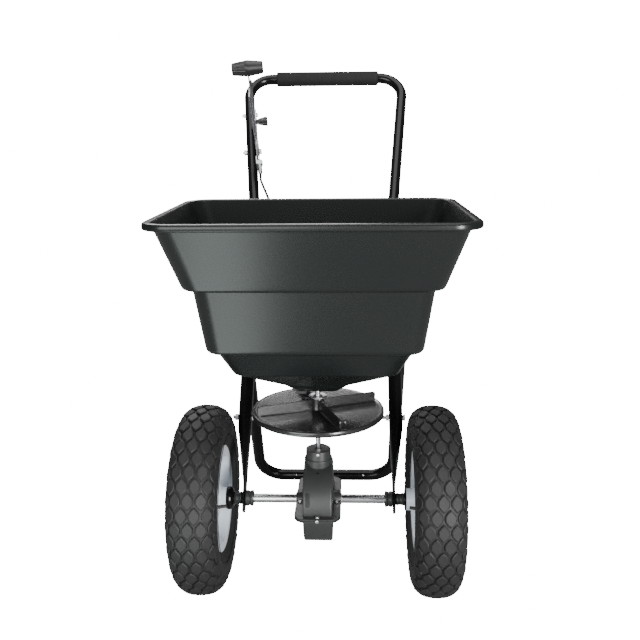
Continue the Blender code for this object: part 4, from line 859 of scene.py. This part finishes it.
class SPREADER_OT_hopper(bpy.types.Operator):
    """Moulds the stepped hopper with its rolled rim, and finishes the gate below it"""
    bl_idname = "spreader.hopper"
    bl_label = "Hopper and gate"

    def execute(self, context):
        hopper = context.scene.spreader_hopper
        wall, top = hopper.wall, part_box("hopper")[1].z
        lip_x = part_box("hopper")[1].x
        tone = finish("hopper_moulding", tuple(hopper.plastic), 0.27, grain=900.0, patch=6.0, drift=0.10,
                      spread=0.05, bump=0.03, depth=0.0002, dust=0.006, shine=0.40)
        flat = [(x, z) for x, _, z in HOPPER_LINE]
        lip = [(0.2335, top - 0.0105), (0.2405, top - 0.0118), (lip_x - 0.0002, top - 0.0105),
               (lip_x, top - 0.0045), (lip_x - 0.0012, top - 0.0010), (lip_x - 0.0050, top), (0.2360, top),
               (0.2322, top - 0.0012)]
        inside = [(x - wall, z + wall) for x, z in flat[::-1]]
        inside[0] = (0.2305, top - 0.0060)
        line = flat[:-1] + [(0.2296, top - 0.0120)] + lip + inside
        soft = []
        for i, point in enumerate(line):
            point = Vector(point)
            if i in (0, len(line) - 1):
                soft.append(point)
                continue
            back, ahead = Vector(line[i - 1]) - point, Vector(line[i + 1]) - point
            reach = min(0.0030, back.length * 0.45, ahead.length * 0.45)
            for t in (0.0, 0.33, 0.67, 1.0):
                first, last = point + back.normalized() * reach, point + ahead.normalized() * reach
                soft.append(first * (1 - t) ** 2 + point * 2 * t * (1 - t) + last * t * t)
        rings = []
        for point in soft:
            radius = 0.0140 + (point.x - 0.038) / (0.2330 - 0.038) * 0.0210
            if point.x > 0.2335:
                radius = 0.0350 + (point.x - 0.2335)
            rings.append(hopper_ring(point.x, radius, point.y))
        piece("hopper_shell", skin(rings), "frame", tone, ("hopper",), angle=50)
        refinish(zinc(), "gate_plate")
        refinish(steel(), "gate_wire")
        refinish(moulded_black(), "gate_guide")
        return {"FINISHED"}


# ---------------------------------------------------------------- frame tubes
LEAN = radians(38.2)
UP = Vector((0, sin(LEAN), cos(LEAN)))
SIDE_LENGTH, SIDE_LOW_X, SIDE_X = 0.520, 0.1325, 0.1390
CRIMP_FROM, CRIMP_TO = 0.0240, 0.1300
HANDLE_LENGTH, HANDLE_X = 0.943, 0.1745
BEND_AT = SIDE_LENGTH + 0.020


def crimp_share(along):
    """How far the flattened end has opened into a round tube, 0 to 1."""
    return min(1.0, max(0.0, (along - CRIMP_FROM) / (CRIMP_TO - CRIMP_FROM)))


def on_side(along, side):
    x = SIDE_LOW_X + (SIDE_X - SIDE_LOW_X) * crimp_share(along)
    return here(side * x, 0, AXLE.z) + UP * along


def on_handle(along, side):
    x = SIDE_X + (HANDLE_X - SIDE_X) * (along - BEND_AT) / (HANDLE_LENGTH - BEND_AT)
    return here(side * x, 0, AXLE.z) + UP * along


def eased(share):
    share = min(1.0, max(0.0, share))
    return share * share * (3 - 2 * share)


class SPREADER_OT_side_tubes(bpy.types.Operator):
    """Draws the side tubes, flattened at the axle"""
    bl_idname = "spreader.side_tubes"
    bl_label = "Side tubes"

    def execute(self, context):
        radius = context.scene.spreader_frame.tube
        for side, word in ((-1, "left"), (1, "right")):
            route, sizes = [], []
            for k in range(60):
                along = -0.0240 + (SIDE_LENGTH + 0.0240) * (k / 59) ** 1.5
                share = crimp_share(along)
                end = eased((along + 0.0245) / 0.016)
                route.append(on_side(along, side))
                sizes.append((0.0028 + (radius - 0.0028) * share,
                              (0.0175 + (radius - 0.0175) * share) * (0.72 + 0.28 * end)))
            tube = sweep(route, sizes, 40)
            piece(f"side_tube_bar_{word}", tube, "frame", enamel(), (f"side_tube_{word}",),
                  angle=40)
        return {"FINISHED"}


STAND_JOIN, STAND_LAP, FOOT_HALF = 0.364, 0.080, 0.1530
LAP_HALF_THICK, LAP_HALF_WIDE, LAP_GAP = 0.0040, 0.0158, 0.0015


class SPREADER_OT_stand(bpy.types.Operator):
    """Bends the stand: foot bar, two legs and flattened laps along the side tubes"""
    bl_idname = "spreader.stand"
    bl_label = "Stand"

    def execute(self, context):
        radius = context.scene.spreader_frame.tube
        foot_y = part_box("stand")[1].y - radius - AXLE.y
        sides = {}
        for side in (-1, 1):
            knee = on_side(STAND_JOIN, side)
            knee.x = side * (SIDE_X + radius + LAP_HALF_THICK + LAP_GAP)
            sides[side] = (knee + UP * STAND_LAP, knee, here(side * FOOT_HALF, foot_y, radius))
        left, right = sides[-1], sides[1]
        coarse = (round_route(list(left), 0.030, 8)[:-1]
                  + round_route([left[1], left[2], right[2], right[1]], 0.055, 16)[1:-1]
                  + round_route(list(right)[::-1], 0.030, 8)[1:])
        route = []
        for a, b in zip(coarse, coarse[1:]):
            count = max(1, int((b - a).length / 0.008))
            route += [a.lerp(b, k / count) for k in range(count)]
        route.append(coarse[-1])
        sizes = []
        for point in route:
            gone = min((point - left[0]).length, (point - right[0]).length)
            share = eased((gone - STAND_LAP - 0.004) / 0.045)
            sizes.append((LAP_HALF_THICK + (radius - LAP_HALF_THICK) * share,
                          LAP_HALF_WIDE + (radius - LAP_HALF_WIDE) * share))
        piece("stand_tube", sweep(route, sizes, 36), "frame", enamel(), ("stand",), angle=40)
        dots = []
        tilt = Matrix.Rotation(radians(68), 4, "X")
        for x in (-0.070, 0.085):
            at = here(x, foot_y - radius * 0.93, radius * 1.35)
            dots.append((button(0.0010, 0.0026, 0.0006, 0.0022, 0.0010), Matrix.Translation(at) @ tilt))
        piece("stand_rivets", merged(*dots), "frame", steel())
        return {"FINISHED"}


class SPREADER_OT_handle(bpy.types.Operator):
    """Bends the push handle and slides its foam grip on"""
    bl_idname = "spreader.handle"
    bl_label = "Handle and grip"

    def execute(self, context):
        tubes = context.scene.spreader_frame
        ends = {side: (on_side(SIDE_LENGTH - 0.068, side), on_side(BEND_AT, side),
                       on_handle(HANDLE_LENGTH, side))
                for side in (-1, 1)}
        left, right = ends[-1], ends[1]
        route = ([left[0]] + round_route(list(left), 0.20, 6)[1:-1]
                 + round_route([left[1], left[2], right[2], right[1]], 0.050, 18)[1:-1]
                 + round_route([right[2], right[1], right[0]], 0.20, 6)[1:-1] + [right[0]])
        piece("handle_tube", sweep(route, float(tubes.handle), 36), "frame", enamel(),
              ("handle",), angle=40)
        low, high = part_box("handle_grip")
        half, outer = (high.x - low.x) / 2, (high.z - low.z) / 2
        ring = soft_outline([(-half, 0.0113), (-half, outer - 0.0012), (-half + 0.003, outer - 0.0002),
                             (half - 0.003, outer - 0.0002), (half, outer - 0.0012), (half, 0.0113)],
                             0.0012, 3)
        foam = finish("grip_foam", tuple(tubes.foam), 0.72, grain=700.0, patch=40.0, drift=0.25, spread=0.1,
                      bump=0.5, depth=0.0004, shine=0.25, height=foam_cells)
        piece("grip_sleeve", turn_profile(ring, (low + high) / 2, "X", 64), "frame", foam, ("handle_grip",))
        return {"FINISHED"}


class SPREADER_OT_brackets(bpy.types.Operator):
    """Finishes the hopper's brackets, the tie rod and the bolts"""
    bl_idname = "spreader.brackets"
    bl_label = "Brackets and bolts"

    def execute(self, context):
        refinish(enamel(), "hopper_bracket_left", "hopper_bracket_right")
        bolts = [name for name in frame["nodes"] if "_bolt_" in name]
        refinish(zinc(), "tie_rod", "tie_nut", *bolts)
        return {"FINISHED"}


# ---------------------------------------------------------------- control
def joint(name):
    return next(j for j in frame["record"]["behaviour"]["joints"] if j["name"] == name)


class SPREADER_OT_control(bpy.types.Operator):
    """Fits the lever's T knob, the stop's knob and the finishes of the plate, lever and cable"""
    bl_idname = "spreader.control"
    bl_label = "Lever and cable"

    def execute(self, context):
        control = context.scene.spreader_control
        across = -Vector(joint("lever_swing")["axis"]).normalized()
        black = finish("knob_moulding", tuple(control.knob), 0.38, grain=1200.0, bump=0.2, depth=0.0003,
                       wear=0.2, worn=(0.09, 0.09, 0.09, 1))
        mid = middle("lever_knob")
        rings = []
        for k in range(41):
            h = -0.0308 + 0.0616 * k / 40
            size = 0.0160 - abs(h) * 0.135
            if abs(h) > 0.0295:
                size -= (abs(h) - 0.0295) * 0.9
            ribbed = h < -0.003
            ring = []
            for n in range(72):
                a = 2 * pi * n / 72
                flute = 0.0007 * (1 if (n // 2) % 2 else 0) if ribbed and abs(h) < 0.0290 else 0.0
                ring.append(Vector(((size - flute) * cos(a), (size - flute) * sin(a), h)))
            rings.append(ring)
        turn = Vector((0, 0, 1)).rotation_difference(across).to_matrix().to_4x4()
        piece("lever_grip", merged((skin(rings), Matrix.Translation(mid) @ turn)), "control_lever", black,
              ("lever_knob",), angle=30)
        refinish(black, "stop_knob")
        refinish(zinc(), "control_plate", "lever", "lever_pivot", "plate_bolt")
        refinish(steel(), "cable_adjuster", "lever_wire")
        refinish(finish("sheath_skin", tuple(control.sheath), 0.35, bump=0.05), "control_cable")
        return {"FINISHED"}


# ---------------------------------------------------------------- studio
BODY, WHITE = (0, AXLE.y, 0.45), (1, 1, 1)
LAMPS = (("panel_front", (-1.4, -3.4, 1.0), BODY, (2.6, 1.6), 95, WHITE),
         ("panel_top", (0.0, -0.2, 2.6), BODY, (2.0, 2.0), 40, WHITE),
         ("bounce_low", (-0.32, -1.00, 0.03), (-0.32, -1.0001, 1.0), (0.26, 0.90), 4, (0.90, 1.0, 0.97)),
         ("strip_right", (1.4, -2.4, 0.7), (-0.2, AXLE.y, 0.165), (0.5, 1.3), 100, WHITE),
         ("panel_back", (-0.9, 2.7, 2.5), BODY, (2.2, 1.2), 60, WHITE))
SEEN_WHITE, FELT_WHITE, FLOOR_HALF = 20.0, 0.10, 60.0
EYE, PITCH, YAW, ROLL = (0.0560, -1.2601, 0.8104), 0.248, 0.0403, -0.0105
SENSOR, FOCAL_SHARE = 36.0, 779.6 / 640


def soft_light(name, at, aim, size, power, tint):
    lamp = bpy.data.lights.new(name, "AREA")
    lamp.shape = "RECTANGLE"
    lamp.size, lamp.size_y = size
    lamp.energy = power
    lamp.color = tint
    made = bpy.data.objects.new(name, lamp)
    made.location = at
    made.rotation_euler = (Vector(aim) - Vector(at)).to_track_quat("-Z", "Y").to_euler()
    made.visible_camera = False
    bpy.context.scene.collection.objects.link(made)


class SPREADER_OT_studio(bpy.types.Operator):
    """Lays the pale floor, sets the soft lights and stands the camera in front"""
    bl_idname = "spreader.studio"
    bl_label = "Studio"

    def execute(self, context):
        bm = bmesh.new()
        bmesh.ops.create_grid(bm, x_segments=1, y_segments=1, size=FLOOR_HALF)
        mesh = bpy.data.meshes.new("floor")
        bm.to_mesh(mesh)
        bm.free()
        floor = bpy.data.objects.new("floor", mesh)
        context.scene.collection.objects.link(floor)
        pale = bpy.data.materials.new("pale_floor")
        pale.use_nodes = True
        shader = pale.node_tree.nodes["Principled BSDF"]
        shader.inputs["Base Color"].default_value = (0.32, 0.32, 0.32, 1)
        shader.inputs["Roughness"].default_value = 0.9
        seen = pale.node_tree.nodes.new("ShaderNodeLightPath").outputs["Is Camera Ray"]
        glow = math_node(pale.node_tree, "MULTIPLY", seen, SEEN_WHITE)
        shader.inputs["Emission Color"].default_value = (1, 1, 1, 1)
        pale.node_tree.links.new(glow, shader.inputs["Emission Strength"])
        mesh.materials.append(pale)
        world = bpy.data.worlds.new("studio_air")
        world.use_nodes = True
        air = world.node_tree
        seen, felt = air.nodes["Background"], air.nodes.new("ShaderNodeBackground")
        blend, path = air.nodes.new("ShaderNodeMixShader"), air.nodes.new("ShaderNodeLightPath")
        seen.inputs["Color"].default_value = felt.inputs["Color"].default_value = (1, 1, 1, 1)
        seen.inputs["Strength"].default_value = SEEN_WHITE
        felt.inputs["Strength"].default_value = FELT_WHITE
        wire(air, [(path.outputs["Is Camera Ray"], blend.inputs[0]), (felt.outputs[0], blend.inputs[1]),
                   (seen.outputs[0], blend.inputs[2]),
                   (blend.outputs[0], air.nodes["World Output"].inputs[0])])
        context.scene.world = world
        for name, at, aim, size, power, tint in LAMPS:
            soft_light(name, at, aim, size, power, tint)
        eye = bpy.data.cameras.new("camera")
        eye.sensor_width = SENSOR
        eye.lens = SENSOR * FOCAL_SHARE
        camera = bpy.data.objects.new("camera", eye)
        context.scene.collection.objects.link(camera)
        forward = Vector((-sin(YAW) * cos(PITCH), cos(YAW) * cos(PITCH), -sin(PITCH)))
        right = forward.cross(Vector((0, 0, 1))).normalized()
        up = right.cross(forward)
        rolled = right * cos(ROLL) + up * sin(ROLL)
        raised = up * cos(ROLL) - right * sin(ROLL)
        turn = Matrix((rolled, raised, -forward)).transposed().to_4x4()
        camera.matrix_world = Matrix.Translation(here(*EYE)) @ turn
        context.scene.camera = camera
        return {"FINISHED"}


PIECES = (SPREADER_OT_studio, SPREADER_OT_tyres, SPREADER_OT_rims, SPREADER_OT_axle, SPREADER_OT_gear_case,
          SPREADER_OT_disc, SPREADER_OT_hopper, SPREADER_OT_side_tubes, SPREADER_OT_stand,
          SPREADER_OT_handle,
          SPREADER_OT_brackets, SPREADER_OT_control)
SETTINGS = {"spreader_wheels": WheelSettings, "spreader_hopper": HopperSettings,
            "spreader_frame": FrameSettings,
            "spreader_drive": DriveSettings, "spreader_control": ControlSettings}


class SPREADER_PT_panel(bpy.types.Panel):
    bl_idname = "SPREADER_PT_panel"
    bl_label = "Broadcast spreader"
    bl_space_type = "VIEW_3D"
    bl_region_type = "UI"
    bl_category = "Spreader"

    def draw(self, context):
        for name in SETTINGS:
            held = getattr(context.scene, name)
            box = self.layout.box()
            for key in held.__annotations__:
                box.prop(held, key)
        for operator in PIECES:
            self.layout.operator(operator.bl_idname)


def register():
    for kind in SETTINGS.values():
        bpy.utils.register_class(kind)
    for name, kind in SETTINGS.items():
        setattr(bpy.types.Scene, name, PointerProperty(type=kind))
    for kind in PIECES + (SPREADER_PT_panel,):
        bpy.utils.register_class(kind)


def unregister():
    for kind in (SPREADER_PT_panel,) + PIECES[::-1]:
        bpy.utils.unregister_class(kind)
    for name in SETTINGS:
        delattr(bpy.types.Scene, name)
    for kind in reversed(list(SETTINGS.values())):
        bpy.utils.unregister_class(kind)


def main():
    register()
    for operator in PIECES:
        getattr(bpy.ops.spreader, operator.bl_idname.split(".")[1])()
    bpy.context.view_layer.update()


if __name__ == "__main__":
    main()
